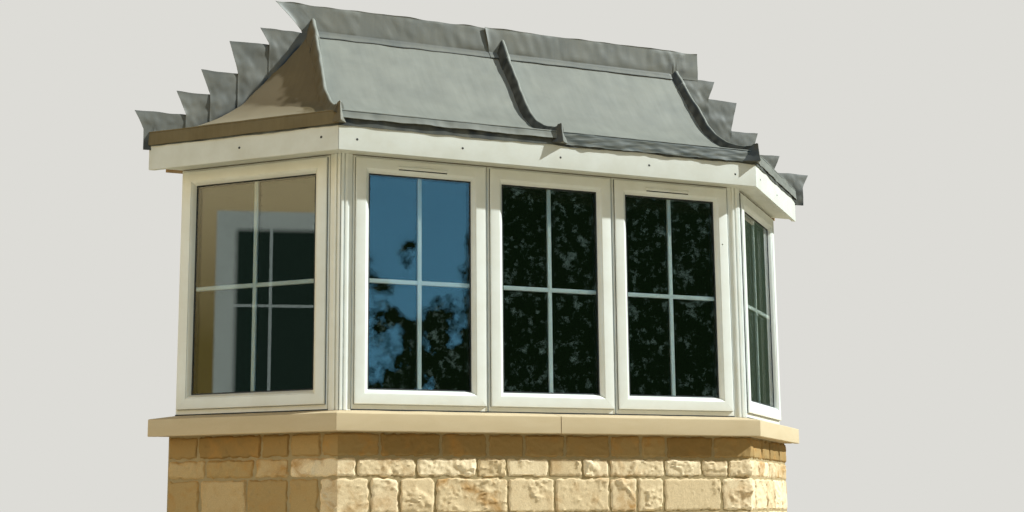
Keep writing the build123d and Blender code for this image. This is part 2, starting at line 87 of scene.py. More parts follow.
def surface(tree, colour, roughness, height=None, strength=0.3, depth=0.5, **constants):
    """Ends a material in one Principled shader, with a bump of so many millimetres from a height."""
    inputs = {"Base Color": colour, "Roughness": roughness}
    inputs.update({name.replace("_", " "): value for name, value in constants.items()})
    if height is not None:
        bump = {"Height": height, "Strength": strength, "Distance": depth * MM}
        inputs["Normal"] = add(tree, "ShaderNodeBump", bump)
    add(tree, "ShaderNodeOutputMaterial", {"Surface": add(tree, "ShaderNodeBsdfPrincipled", inputs)})


def per_metre(size):
    """A texture scale that makes one pattern cell this many millimetres."""
    return 1000 / size


def clouded(name, base, coats, roughness, bump=(), **constants):
    """A material of noise laid over noise: each coat is (cell size in mm, noise settings, cover, colour).

    Where cover is None the noise itself is the share of the new colour; otherwise a ramp from cover's first
    noise value to its second gives the share. A size can differ along x, y and z. bump is the strength
    and the depth in mm of the last noise."""
    made, tree = new_material(name)
    where = add(tree, "ShaderNodeTexCoord", out="Object")
    colour = paint(base)
    for size, settings, cover, coat in coats:
        cells = per_metre(np.broadcast_to(size, 3)).tolist()
        spot = add(tree, "ShaderNodeMapping", {"Vector": where, "Scale": cells})
        noise = add(tree, "ShaderNodeTexNoise", {"Vector": spot, "Scale": 1.0, **settings})
        share = noise
        if cover:
            share = add(tree, "ShaderNodeMapRange", {"Value": noise, **dict(zip(RAMP, cover))})
        colour = add(tree, "ShaderNodeMix", {0: share, 6: colour, 7: paint(coat)}, 2, data_type="RGBA")
    surface(tree, colour, roughness, noise if bump else None, *bump, **constants)
    return made


print("paint check, white:", paint("#FFFFFF"))

# %% [markdown]
# ## The camera
# The photograph was taken from low down on the left, looking up. The place, direction and focal length were
# solved from the bay's own corners, so a rebuilt edge falls on the same pixel as the real one.

# %% Camera
camera = bpy.data.cameras.new("camera")
camera.sensor_width = 36
camera.lens = 36 * 1477.8 / 1024
camera_object = bpy.data.objects.new("camera", camera)
scene.collection.objects.link(camera_object)
ahead = Vector((0.38886, 0.90553, 0.16969)).normalized()
across = ahead.cross(Vector((-0.05833, -0.15962, 0.98545))).normalized()
camera_object.matrix_world = Matrix.Translation((-2.6564, -6.3057, 0.6609)) @ Matrix(
    (across, across.cross(ahead), -ahead)
).transposed().to_4x4()
scene.camera = camera_object
scene.view_settings.view_transform = "Standard"
print("camera lens:", round(camera.lens, 2), "mm")

# %% [markdown]
# ## Light
# Two lights do the work: one key light high on the right, as the sun stands in the photograph, so that the
# eaves shade the heads of the windows, and a soft fill from all round, warmer on the left. Window glass
# is mostly what it reflects, so shiny rays see more than diffuse ones do: a blue sky with a ragged belt
# of foliage in front, and a warm wall with one dark opening on the left. The camera sees a plain backdrop.

# %% World and key light
world = bpy.data.worlds.new("studio")
world.use_nodes = True
scene.world = world
sky = world.node_tree
sky.nodes.clear()
toward = add(sky, "ShaderNodeTexCoord", out="Generated")
dx, dy, dz = (add(sky, "ShaderNodeSeparateXYZ", {0: toward}, axis) for axis in range(3))
diffuse_ray = add(sky, "ShaderNodeLightPath", out="Is Diffuse Ray")
camera_ray = add(sky, "ShaderNodeLightPath", out="Is Camera Ray")
bearing = add(sky, "ShaderNodeMath", {0: dx, 1: dy}, operation="ARCTAN2")
slope_side = add(sky, "ShaderNodeMath", {0: dy, 1: dx}, operation="DIVIDE")
clumps, leaves = (
    add(sky, "ShaderNodeTexNoise", {"Vector": toward, "Scale": scale, "Detail": detail, "Roughness": rough})
    for scale, detail, rough in ((30.0, 9.0, 0.62), (150.0, 4.0, 0.7)))

# each ramp goes from 0 to 1 between two values of one part of the direction
ramps = {
    name: add(sky, "ShaderNodeMapRange", {"Value": value, "From Min": start, "From Max": stop})
    for name, value, start, stop in (
        ("fill left", dx, -0.25, -0.95), ("fill above", dz, 0.15, 0.9), ("fill room", dy, 0.35, 0.8),
        ("glints", leaves, 0.54, 0.72), ("sky height", dz, 0.05, 0.5), ("wall height", dz, 0.11, 0.21),
        ("past jamb", slope_side, 0.220, 0.224), ("under head", dz, 0.188, 0.184),
        ("past casing", slope_side, 0.207, 0.209), ("under casing", dz, 0.199, 0.197),
        ("to left", dx, -0.60, -0.75), ("behind", dy, 0.0, 0.2))}

# trees stand higher to the right of 158 degrees, and leaf clumps fray them
treetop = add(sky, "ShaderNodeMapRange", {"Value": bearing, **dict(zip(RAMP, (2.775, 2.745, 0.118, 0.30)))})
below_top = add(sky, "ShaderNodeMath", {0: treetop, 1: dz}, operation="SUBTRACT")
steep = add(sky, "ShaderNodeMath", {0: below_top, 1: 2.6}, operation="MULTIPLY")
thicket = add(sky, "ShaderNodeMath", {0: clumps, 1: steep}, operation="ADD")
trees = add(sky, "ShaderNodeMapRange", {"Value": thicket, "From Min": 0.44, "From Max": 0.53})

# the dark opening on the left, its casing, and the glazing bars of the window in it
opening, casing = (
    add(sky, "ShaderNodeMath", {0: ramps[across], 1: ramps[up]}, operation="MULTIPLY")
    for across, up in (("past jamb", "under head"), ("past casing", "under casing")))
upright = add(sky, "ShaderNodeMath", {0: slope_side, 1: 0.2465, 2: 0.0011}, operation="COMPARE")
transom = add(sky, "ShaderNodeMath", {0: dz, 1: 0.136, 2: 0.0009}, operation="COMPARE")
cross_bars = add(sky, "ShaderNodeMath", {0: upright, 1: transom}, operation="MAXIMUM")

# every light is one colour, or one named above it, covered by a share of another
lights = {}
for name, share, under, over in (
        ("low fill", ramps["fill left"], (0.09, 0.12, 0.12, 1), (1.42, 0.95, 0.34, 1)),
        ("front fill", ramps["fill above"], "low fill", (0.24, 0.29, 0.31, 1)),
        ("fill", ramps["fill room"], "front fill", (0.62, 0.62, 0.58, 1)),
        ("foliage", ramps["glints"], (0.02, 0.04, 0.015, 1), (0.40, 0.58, 0.50, 1)),
        ("blue", ramps["sky height"], (0.40, 1.15, 1.75, 1), (0.28, 0.70, 1.20, 1)),
        ("garden", trees, "blue", "foliage"),
        ("walling", ramps["wall height"], (0.62, 0.46, 0.14, 1), (1.70, 1.36, 0.76, 1)),
        ("cased wall", casing, "walling", (1.25, 1.38, 1.28, 1)),
        ("room", cross_bars, (0.05, 0.09, 0.07, 1), (1.0, 1.15, 1.1, 1)),
        ("left side", opening, "cased wall", "room"),
        ("mirrored", ramps["to left"], "garden", "left side"),
        ("reflected", ramps["behind"], "mirrored", (0.07, 0.10, 0.06, 1)),
        ("lighting", diffuse_ray, "reflected", "fill"),
        ("shown", camera_ray, "lighting", paint("#DDDCD7"))):
    inputs = {0: share, 6: lights.get(under, under), 7: lights.get(over, over)}
    lights[name] = add(sky, "ShaderNodeMix", inputs, 2, data_type="RGBA")
backdrop = add(sky, "ShaderNodeBackground", {"Color": lights["shown"], "Strength": 1.0})
add(sky, "ShaderNodeOutputWorld", {"Surface": backdrop})

print("mixed lights:", list(lights))

# %% [markdown]
# ## Key light and floor
# The key light is a sun of a little over one degree, so its shadows have a slightly soft edge. The floor is
# part of the stage and not of the model.

# %% Key light and floor
SUN_FROM = (0.725, -0.308, 0.616)
key = bpy.data.lights.new("key", "SUN")
key.energy = 5.7
key.angle = np.radians(1.2)
key.color = (0.93, 1.0, 0.98)
key_object = bpy.data.objects.new("key", key)
scene.collection.objects.link(key_object)
key_object.rotation_euler = Vector(SUN_FROM).to_track_quat("Z", "Y").to_euler()

floor_mesh = bpy.data.meshes.new("floor")
floor_mesh.from_pydata([(-30, -30, -0.001), (30, -30, -0.001), (30, 30, -0.001), (-30, 30, -0.001)], [],
                       [(0, 1, 2, 3)])
floor = bpy.data.objects.new("floor", floor_mesh)
scene.collection.objects.link(floor)
pale, pale_tree = new_material("pale_floor")
surface(pale_tree, paint("#A69B83"), 0.9)
floor_mesh.materials.append(pale)
print("key light from", SUN_FROM)

# %% [markdown]
# ## Three ways to close a mesh
# Nearly everything here is one of three things: a profile carried along a straight run with its ends
# capped, a profile carried round a loop as in a window frame, or a sheet with two faces and a rim.
# Each is a grid of points, so the faces come from index arithmetic. A closed mesh has a signed
# volume; if it comes out negative the faces look inwards, and all are turned over.

# %% Grid faces and mesh making


def net(rows, columns, close_rows=False, close_columns=False):
    """Quads of a grid numbered row by row: each joins a point, its neighbours and the one across."""
    r = np.arange(rows if close_rows else rows - 1)[:, None]
    c = np.arange(columns if close_columns else columns - 1)[None, :]
    r2, c2 = (r + 1) % rows, (c + 1) % columns
    corners = np.broadcast_arrays(r * columns + c, r * columns + c2, r2 * columns + c2, r2 * columns + c)
    return np.stack(corners, -1).reshape(-1, 4)


def xyz(x, y, z):
    """Points from three coordinates, each a number or an array, stretched to one shape."""
    return np.stack(np.broadcast_arrays(x, y, z), -1)


def rim(rows, columns):
    """The numbers of a grid's outermost points, in order round it."""
    grid = np.arange(rows * columns).reshape(rows, columns)
    return np.concatenate([grid[0, :-1], grid[:-1, -1], grid[-1, :0:-1], grid[:0:-1, 0]])


def run_mesh(rings):
    """A capped run: rings is (stations, profile points, 3)."""
    m, n = rings.shape[:2]
    return rings.reshape(-1, 3), net(m, n, close_columns=True).tolist() + [
        list(range(n - 1, -1, -1)), list(range((m - 1) * n, m * n))]


def loop_mesh(rings):
    """A run that closes on itself: rings is (stations, profile points, 3)."""
    m, n = rings.shape[:2]
    return rings.reshape(-1, 3), net(m, n, close_rows=True, close_columns=True).tolist()


def sheet_mesh(top, under):
    """Two grids of the same size joined round their rims."""
    m, n = top.shape[:2]
    edge = rim(m, n)
    band = np.stack([edge, np.roll(edge, -1), np.roll(edge, -1) + m * n, edge + m * n], -1)
    faces = np.concatenate([net(m, n), net(m, n)[:, ::-1] + m * n, band[:, ::-1]])
    return np.concatenate([top.reshape(-1, 3), under.reshape(-1, 3)]), faces.tolist()


def joined(parts):
    """Several (points, faces) pairs as one."""
    points, faces, first = [], [], 0
    for some_points, some_faces in parts:
        points.append(some_points)
        faces += [[first + index for index in face] for face in some_faces]
        first += len(some_points)
    return np.concatenate(points), faces


def piece(name, parts, material, slot, nodes=(), smooth=35.0, **values):
    """Makes one object from closed (points, faces) parts and hides the CAD nodes it stands for."""
    turned = []
    for points, faces in parts:
        triangles = np.array([(f[0], f[i], f[i + 1]) for f in faces for i in range(1, len(f) - 1)])
        a, b, c = (points[triangles[:, i]] for i in range(3))
        volume = np.einsum("ij,ij->i", a, np.cross(b, c)).sum()
        turned.append((points, faces if volume > 0 else [f[::-1] for f in faces]))
    points, faces = joined(turned)
    mesh = bpy.data.meshes.new(name)
    mesh.from_pydata((points * MM).tolist(), [], faces)
    mesh.shade_smooth()
    mesh.set_sharp_from_angle(angle=np.radians(smooth))
    for value_name, numbers in values.items():
        numbers = np.asarray(numbers, "f")
        flat = numbers.ndim == 1
        attribute = mesh.attributes.new(value_name, "FLOAT" if flat else "FLOAT_VECTOR", "POINT")
        attribute.data.foreach_set("value" if flat else "vector", numbers.ravel())
    mesh.materials.append(material)
    made = bpy.data.objects.new(name, mesh)
    scene.collection.objects.link(made)
    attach(made, "root")
    if nodes:
        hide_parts(*nodes)
    return made


# %% [markdown]
# ## The bay's plan
# Three faces meet at two corners of 45 degrees. Every course, from the sill to the eaves, is a section of
# (setback, height) points carried along a face, so one function places a point by its distance along a
# face, its setback behind the fascia's line and its height. Ends are mitred: the further back a point
# lies, the later its run begins.

# %% Plan and heights
HALF, DEPTH, SPLAY = 993.0, 655.0, np.radians(45)
MITRE = np.tan(SPLAY / 2)
FRAME_Y, SEAT, HEAD, FASCIA = 104.0, 1066.0, 2126.0, 2116.0
EAVES, TOP = 2284.0, 2821.0
LEAD = 2.65
DIAGONAL = np.array([1.0, 1.0]) / np.sqrt(2)
FACES = {
    "front": (np.array([-HALF, -DEPTH]), np.array([1.0, 0.0]), np.array([0.0, 1.0])),
    "right": (np.array([HALF, -DEPTH]), DIAGONAL, DIAGONAL * [-1, 1]),
    "left": (np.array([-HALF, -DEPTH]), DIAGONAL * [-1, 1], DIAGONAL),
}


def place(face, along, setback, height):
    """Corner + along x the face's direction + setback x its inward direction, with the height as z."""
    corner, run, inward = FACES[face]
    along, setback, height = np.broadcast_arrays(along, setback, height)
    plan = corner + along[..., None] * run + setback[..., None] * inward
    return np.concatenate([plan, height[..., None]], -1)


def ends(face, setback, wall_y=0.0, mitre=MITRE):
    """First and last distance along a face at a setback: mitred at a corner, square to the house wall."""
    first = setback * mitre
    last = 2 * HALF - first if face == "front" else (wall_y + DEPTH) / np.sin(SPLAY) - setback
    return first, last


def rounded(corners, radii, steps=4):
    """A closed outline with eased corners: from edge to edge on a parabola bent by the corner."""
    p = np.asarray(corners, float)
    before, after = np.roll(p, 1, 0) - p, np.roll(p, -1, 0) - p
    long_before, long_after = np.linalg.norm(before, axis=1), np.linalg.norm(after, axis=1)
    cut = np.minimum(np.broadcast_to(radii, len(p)), 0.45 * np.minimum(long_before, long_after))[:, None]
    a, b = p + before / long_before[:, None] * cut, p + after / long_after[:, None] * cut
    t = np.linspace(0, 1, steps + 1)[None, :, None]
    return ((1 - t) ** 2 * a[:, None] + 2 * t * (1 - t) * p[:, None] + t ** 2 * b[:, None]).reshape(-1, 2)


def course(face, profile, stations=2, wall_y=0.0, gap=0.6, start=None, stop=None):
    """Rings of a section carried along a face: each point runs from its own mitred start to its own end."""
    setback, height = np.asarray(profile).T
    first, last = ends(face, setback, wall_y)
    first = first + gap / 2 if start is None else np.full_like(first, start)
    last = last - gap / 2 if stop is None else np.full_like(last, stop)
    t = np.linspace(0, 1, stations)[:, None]
    return place(face, first + t * (last - first), setback, height)


def ripple(points, size, seed, waves=24):
    """A smooth random field of about -1 to 1: sine waves of one length in random directions, summed."""
    random = np.random.default_rng(seed)
    direction = random.normal(size=(waves, 3))
    direction /= np.linalg.norm(direction, axis=1, keepdims=True)
    wave = direction * 2 * np.pi / size * random.uniform(0.7, 1.5, (waves, 1))
    return np.sin(points @ wave.T + random.uniform(0, 2 * np.pi, waves)).sum(-1) * np.sqrt(2 / waves) * 0.7


print("front face:", 2 * HALF, "mm, side face:", round(DEPTH / np.sin(SPLAY), 1), "mm")

# %% [markdown]
# ## Walling stone
# The dwarf wall is coursed sandstone, split rather than sawn, so each face is a set of shallow chips
# between crisp ridges. A displaced plane would smear the joints. Here each stone is its own small
# height field: the lowest of several tilted planes gives the chips, and the height drops behind the
# mortar near the stone's outline, so the joint is cut where stone and mortar meet.

# %% Walling stone and mortar materials
stone, tree = new_material("split_sandstone")
# sandstone: iron stains over a hand's breadth, grains of 1 mm drawn at 5 mm to show; each block has its tone
where = add(tree, "ShaderNodeTexCoord", out="Object")
tone = add(tree, "ShaderNodeAttribute", out="Fac", attribute_name="tone")
warmth = add(tree, "ShaderNodeAttribute", out="Fac", attribute_name="warmth")
stain, grain, pits = (
    add(tree, "ShaderNodeTexNoise", {"Vector": where, "Scale": per_metre(size), "Detail": detail,
                                     "Roughness": rough, "Distortion": twist})
    for size, detail, rough, twist in ((90, 5.0, 0.6, 0.6), (5, 4.0, 0.7, 0.0), (18, 3.0, 0.6, 0.0)))
lower_tone, upper_tone, rusty, speck = (
    add(tree, "ShaderNodeMapRange", {"Value": value, **dict(zip(RAMP, limits))})
    for value, limits in ((tone, (0.0, 0.45)), (tone, (0.45, 1.0)), (stain, (0.48, 0.70)),
                          (grain, (0.36, 0.62, 0.26, 0.0))))
iron = add(tree, "ShaderNodeMath", {0: rusty, 1: warmth}, operation="MULTIPLY")
colour = paint("#8E7040")
for share, coat in ((lower_tone, "#C2A472"), (upper_tone, "#FFEAC6"), (iron, "#B98A4C"), (speck, "#8F7448")):
    colour = add(tree, "ShaderNodeMix", {0: share, 6: colour, 7: paint(coat)}, 2, data_type="RGBA")
rough_height = add(tree, "ShaderNodeMix", {0: 0.45, 2: grain, 3: pits}, data_type="FLOAT")
surface(tree, colour, 0.92, rough_height, 0.9, 2.2, Specular_IOR_Level=0.25)

# sand-lime mortar, brushed back: grey-buff, and gritty at 2 mm, drawn at 3 mm to show
mortar = clouded("struck_lime_mortar", "#B7A279", [
    (60, {"Detail": 3.0}, None, "#D2BF98"),
    (3, {"Detail": 5.0, "Roughness": 0.75}, None, "#8D7A58")], 0.95, (1.0, 1.6), Specular_IOR_Level=0.2)
print("materials:", stone.name, mortar.name)

# %% [markdown]
# ## Courses and corner stones
# The courses differ in height, as a mason's do. A corner stone turns the corner in one piece, and reaches
# further along one face in every other course; between two corners the run is cut into random lengths.

# %% Stone courses round the bay
WALL_SETBACK, WALL_TOP = 88.0, 978.0
SIDE_RUN = DEPTH / np.sin(SPLAY) - WALL_SETBACK - WALL_SETBACK * MITRE
FRONT_RUN = 2 * HALF - 2 * WALL_SETBACK * MITRE
CORNERS = (SIDE_RUN, SIDE_RUN + FRONT_RUN)
COURSES = (99.0, 82.0, 148.0, 104.0, 118.0, 92.0, 150.0, 96.0, 89.0)
GRID = 5.5
print("wall from end to end:", round(2 * SIDE_RUN + FRONT_RUN), "mm in", len(COURSES), "courses")


def on_wall(u, out, height):
    """A point by its distance round the wall from its left end, how far it stands out and its height."""
    first = WALL_SETBACK * MITRE
    mitred = (WALL_SETBACK - out) * MITRE
    left = place("left", np.where(np.isclose(u, CORNERS[0]), mitred, first + CORNERS[0] - u),
                 WALL_SETBACK - out, height)
    right = place("right", np.where(np.isclose(u, CORNERS[1]), mitred, first + u - CORNERS[1]),
                  WALL_SETBACK - out, height)
    front = place("front", first + u - CORNERS[0], WALL_SETBACK - out, height)
    u = u[..., None]
    found = np.where(u <= CORNERS[0], left, np.where(u >= CORNERS[1], right, front))
    found[..., 1] = np.minimum(found[..., 1], -0.5)
    return found


def block_lengths(length, short, long, random):
    """Cuts a run into blocks of random length that add up to it."""
    count = max(int(round(length / ((short + long) / 2))), 1)
    share = random.uniform(short, long, count)
    return np.cumsum(share / share.sum() * length)[:-1]


def rock_face(u, z, length, height, relief, random, seed):
    """Height over the mortar: the lowest of tilted planes, hollowed between creases of folded noise."""
    planes = 6
    centre_u, centre_z = random.uniform(0, length, planes), random.uniform(0, height, planes)
    level = random.uniform(0, 6, planes)
    lean_u, lean_z = random.normal(0, 0.13, planes), random.normal(0.03, 0.17, planes)
    split = (level + lean_u * (u[..., None] - centre_u) + lean_z * (z[..., None] - centre_z)).min(-1)
    spot = xyz(u, 1.5 * z, seed)
    hollows = 4.6 * np.abs(ripple(spot, 95, seed + 1)) + 3.0 * np.abs(ripple(spot, 42, seed + 2))
    hollows = hollows + 1.4 * ripple(spot, 21, seed + 3)
    proud = random.uniform(14.5, 20) * (0.5 + 0.5 * relief)
    inset_u, inset_z = length / 2 - np.abs(u - length / 2), height / 2 - np.abs(z - height / 2)
    radius = 14.0
    inset = radius - np.hypot(np.maximum(radius - inset_u, 0), np.maximum(radius - inset_z, 0))
    return np.maximum(proud + (np.clip(split - split.max(), -9, 0) - hollows) * relief, 5.0), inset


def lay_block(u0, u1, z0, z1, relief, tones, seed):
    """One stone as a closed height field, with the numbers that colour it."""
    random = np.random.default_rng(seed)
    columns = np.linspace(u0, u1, max(int((u1 - u0) / GRID), 6))
    for corner in CORNERS:
        if u0 < corner < u1:
            columns = np.append(columns[np.abs(columns - corner) > GRID / 2], corner)
    columns = np.sort(columns)
    rows = np.linspace(z0, z1, max(int((z1 - z0) / GRID), 6))
    z, u = np.meshgrid(rows, columns, indexing="ij")
    out, inset = rock_face(u - u0, z - z0, u1 - u0, z1 - z0, relief, random, seed)
    spot = xyz(u, z, 0)
    inset = inset - 3.8 + 2.4 * ripple(spot, 60, seed) + 1.6 * ripple(spot, 26, seed + 4)
    lift = np.sqrt(np.clip(inset / 7.0, 0, 1))
    out = -5 + (out + 5) * lift
    out[[0, -1], :], out[:, [0, -1]] = -5, -5
    points = on_wall(u, out, z).reshape(-1, 3)
    faces = net(*u.shape).tolist() + [rim(*u.shape)[::-1].tolist()]
    shade = tones[0] + (tones[1] - tones[0]) * random.uniform(0, 1)
    return (points, faces), np.full(len(points), shade), np.full(len(points), random.uniform(0, 1))


# %% [markdown]
# ## Laying the stones
# The courses are laid from the sill down. The left side lies in the lee, in shade: its stones are less
# broken and get darker tones, painted shade; the front and the right side catch the sun.

# %% Lay the stones
# in every other course a corner stone reaches further along the front, and in the rest along the side
LONGER_FRONT, LONGER_SIDE = np.array([0, 70, 70, 0]), np.array([70, 0, 0, 70])
RELIEF = {"stones_left": 0.6, "quoins_left": 0.85, "stones_right": 0.8}
# painted shade: the stones on the shaded left side get darker tones
TONES = {"stones_left": (0.25, 0.65), "quoins_left": (0.55, 0.95)}
ROUND_THE_WALL = ("stones_left", "quoins_left", "stones_front", "quoins_right", "stones_right")
random = np.random.default_rng(11)
groups = {"stones_left": [], "stones_front": [], "stones_right": [], "quoins_left": [], "quoins_right": []}
z1, seed = WALL_TOP, 100
for row, tall in enumerate(COURSES):
    z0 = max(z1 - tall, 0.0)
    reach = random.uniform(60, 150, 4) + (LONGER_SIDE if row % 2 else LONGER_FRONT)
    cuts = (0, CORNERS[0] - reach[0], CORNERS[0] + reach[1], CORNERS[1] - reach[2], CORNERS[1] + reach[3],
            CORNERS[1] + SIDE_RUN)
    for group, start, stop in zip(ROUND_THE_WALL, cuts, cuts[1:]):
        splits = np.array([]) if "quoins" in group else block_lengths(stop - start, 110, 290, random)
        limits = [start, *(start + splits), stop]
        relief, tones = RELIEF.get(group, 1.0), TONES.get(group, (0.72, 1.0))
        if row == 0:
            # the course under the sill is smoother, and its stones get darker, browner tones: painted shade
            # under the sill
            relief, tones = relief * 0.35, (0.05, 0.35)
        for u0, u1 in zip(limits, limits[1:]):
            seed += 7
            groups[group].append(lay_block(u0, u1, z0, z1, relief, tones, seed))
    z1 = z0
for group, blocks in groups.items():
    parts, tone_values, warmth_values = zip(*blocks)
    made = piece(group, parts, stone, "walling_stone", smooth=38,
                 tone=np.concatenate(tone_values), warmth=np.concatenate(warmth_values))
    print(group, len(blocks), "blocks,", len(made.data.polygons), "faces")

# %% [markdown]
# ## Sawn stone sill
# The sill is sawn from finer stone in four lengths: smooth faces, arrises just eased by weather, a top
# that falls outwards and a drip groove below. A profile carried along each face and cut on the mitre
# gives exactly that, and a little wander along the run keeps the arris from looking machined.

# %% Sill
# fine sandstone, sawn and rubbed: even buff, faint bedding clouds, grains under 1 mm drawn at 2.5 mm
sawn = clouded("sawn_sandstone", "#C9B490", [
    ((160, 160, 160 / 3.5), {"Detail": 4.0, "Distortion": 0.8}, None, "#D9C6A6"),
    (2.5, {"Detail": 3.0, "Roughness": 0.7}, (0.4, 0.65, 0.0, 0.2), "#A98E63")], 0.85, (0.35, 0.5),
    Specular_IOR_Level=0.3)

SILL_FRONT, SILL_TOP, DRIP_UP = 25, 1050.0, 8
sill_profile = rounded(
    [(SILL_FRONT, WALL_TOP), (47, WALL_TOP), (47, WALL_TOP + DRIP_UP), (57, WALL_TOP + DRIP_UP),
     (57, WALL_TOP), (178, WALL_TOP), (178, SEAT), (FRAME_Y, SEAT), (SILL_FRONT, SILL_TOP)],
    [3, 1, 1, 1, 1, 1, 1, 2, 4])
for name, face, start, stop in (
        ("sill_left", "left", None, None), ("sill_front_left", "front", None, HALF - 2),
        ("sill_front_right", "front", HALF + 2, None), ("sill_right", "right", None, None)):
    rings = course(face, sill_profile, 40, start=start, stop=stop)
    wander = 0.5 * ripple(rings, 220, 5) + 0.3 * ripple(rings, 60, 6)
    rings = rings + wander[..., None] * np.array([0.3, -0.5, 0.8])
    piece(f"{name}_stone", [run_mesh(rings)], sawn, "sawn_stone", [name])
print("sill profile points:", len(sill_profile))

# %% [markdown]
# ## Windows
# Each casement is white uPVC: extruded lengths cut at 45 degrees and welded, so every corner shows a
# fine weld line. A profile carried round a rectangle makes the welded loop in one closed mesh; with one
# more station just before and just after each corner, the mitre itself can sink by half a millimetre.

# %% Plastic and glazing materials


def plastic(name, clean, dusty, gloss_low, gloss_high):
    """Rigid PVC from the extruder: smooth, slightly glossy, with a film of dust in broad clouds."""
    made, tree = new_material(name)
    where = add(tree, "ShaderNodeTexCoord", out="Object")
    dust, skin = (
        add(tree, "ShaderNodeTexNoise", {"Vector": where, "Scale": per_metre(size), "Detail": detail,
                                         "Roughness": rough})
        for size, detail, rough in ((140, 5.0, 0.6), (30, 2.0, 0.5)))
    film, gloss = (add(tree, "ShaderNodeMapRange", {"Value": dust, **dict(zip(RAMP, limits))})
                   for limits in ((0.35, 0.75, 0.0, 0.6), (0.0, 1.0, gloss_low, gloss_high)))
    white = add(tree, "ShaderNodeMix", {0: film, 6: paint(clean), 7: paint(dusty)}, 2, data_type="RGBA")
    surface(tree, white, gloss, skin, 0.05, 0.3, IOR=1.53)
    return made


# frames are washed when the glass is; the boards above them never are, and have gone dull
upvc = plastic("extruded_upvc", "#F0F2EE", "#DFDDD2", 0.28, 0.5)
board_upvc = plastic("weathered_upvc_board", "#DFE0DA", "#C6C3B4", 0.45, 0.65)

# EPDM rubber: matt black with a grey bloom
rubber = clouded("extruded_rubber_gasket", "#1E1F1F", [(25, {}, None, "#3A3B3A")], 0.7,
                 Specular_IOR_Level=0.4)
# roll-formed aluminium with a white baked coat
coated = clouded("coated_aluminium_bar", "#F2F1E8", [(80, {}, None, "#E4E2D6")], 0.35, IOR=1.5)
# bare rolled aluminium round the sealed unit, drawn along its length
spacer_metal = clouded("mill_aluminium_spacer", "#8E9192", [(12, {}, None, "#B4B7B8")], 0.4, Metallic=1.0)

clear, tree = new_material("clear_float_glass")
# float glass: flat and clear; its colour is what it reflects
surface(tree, paint("#F4FAF7"), 0.0, IOR=1.52, Transmission_Weight=1.0)

room_shade_pane, tree = new_material("painted_room_shade_glass")
# painted shade: the inner pane is tinted nearly black to stand for the gloom of an unlit room, and lets next
# to nothing through
surface(tree, paint("#1A211F"), 0.0, IOR=1.52, Transmission_Weight=1.0)
print("window materials:", upvc.name, rubber.name, coated.name, clear.name, room_shade_pane.name)

# %% [markdown]
# ## Frames, sashes and sealed units
# Seen from outside, a frame is a flat rail, and the sash stands in front of it, with a rounded slope down to
# the glass. Behind the seal lie two panes with a spacer round their edge, and the bars are fixed between
# them, so the bars show through the outer pane.

# %% Frames, sashes and sealed units
POST_LEG, FRAME_BACK = 50.0, 174.0
CORNER_RUN = FRAME_Y * MITRE
FRONT_WIDTH = (2 * HALF - 2 * CORNER_RUN - 2 * POST_LEG) / 3
SIDE_WIDTH = (DEPTH - FRAME_Y) / np.sin(SPLAY) - POST_LEG
WINDOWS = {
    "front_1": ("front", HALF - FRONT_WIDTH, FRONT_WIDTH), "front_2": ("front", HALF, FRONT_WIDTH),
    "front_3": ("front", HALF + FRONT_WIDTH, FRONT_WIDTH),
    "side_left": ("left", CORNER_RUN + POST_LEG + SIDE_WIDTH / 2, SIDE_WIDTH),
    "side_right": ("right", CORNER_RUN + POST_LEG + SIDE_WIDTH / 2, SIDE_WIDTH),
}


def welded_loop(window, margins, profile, widths=(1.0, 1.0, 1.0), weld=0.5):
    """A profile of (across, setback) points round a window: margins and width factors are side, foot, head.
    Each corner has three stations: just before the mitre, on it and sunk by the weld, and just after."""
    face, middle, width = WINDOWS[window]
    across, setback = np.asarray(profile).T
    sx, sz = np.array([-1, 1, 1, -1]), np.array([-1, -1, 1, 1])
    x = sx[:, None] * (width / 2 - margins[0] - across * widths[0])
    low, high = SEAT + margins[1] + across * widths[1], HEAD - margins[2] - across * widths[2]
    z = np.where(sz[:, None] < 0, low, high)
    into = np.array([(0, -1), (1, 0), (0, 1), (-1, 0)], float)
    step = np.stack([-into, 0 * into, np.roll(into, -1, 0)], 1) * 0.8
    x3, z3 = x[:, None] + step[..., :1], z[:, None] + step[..., 1:]
    deep = np.array([0, weld, 0])[None, :, None] + setback
    rings = place(face, middle + x3, deep, z3)
    return rings.reshape(-1, len(across), 3)


def panel(window, margin_side, margin_foot, margin_head, front, back):
    """A flat closed slab between two setbacks, inside given margins of a window."""
    face, middle, width = WINDOWS[window]
    x = np.array([-1, 1, 1, -1]) * (width / 2 - margin_side)
    z = np.array([SEAT + margin_foot] * 2 + [HEAD - margin_head] * 2)
    return run_mesh(place(face, middle + x, np.array([[front], [back]]), z))


def glazing_bar(window, x0, x1, z0, z1, front, back):
    """A bar with eased edges, upright or level, between two setbacks."""
    face, middle = WINDOWS[window][:2]
    upright = z1 - z0 > x1 - x0
    w0, w1, run = (x0, x1, (z0, z1)) if upright else (z0, z1, (x0, x1))
    w, s = rounded([(w0, front), (w1, front), (w1, back), (w0, back)], [2.2, 2.2, 0.5, 0.5]).T
    run = np.array(run)[:, None]
    return run_mesh(place(face, middle + w, s, run) if upright else place(face, middle + run, s, w))


print("front frame:", round(FRONT_WIDTH, 1), "mm, side frame:", round(SIDE_WIDTH, 1), "mm")

# %% [markdown]
# ## Five windows from four kinds of section
# The frame, the sash, its seals and the spacer each have a section of (across, setback) points. The bevel of
# the sash towards the glass is an ovolo: a soft, hollowing curve.

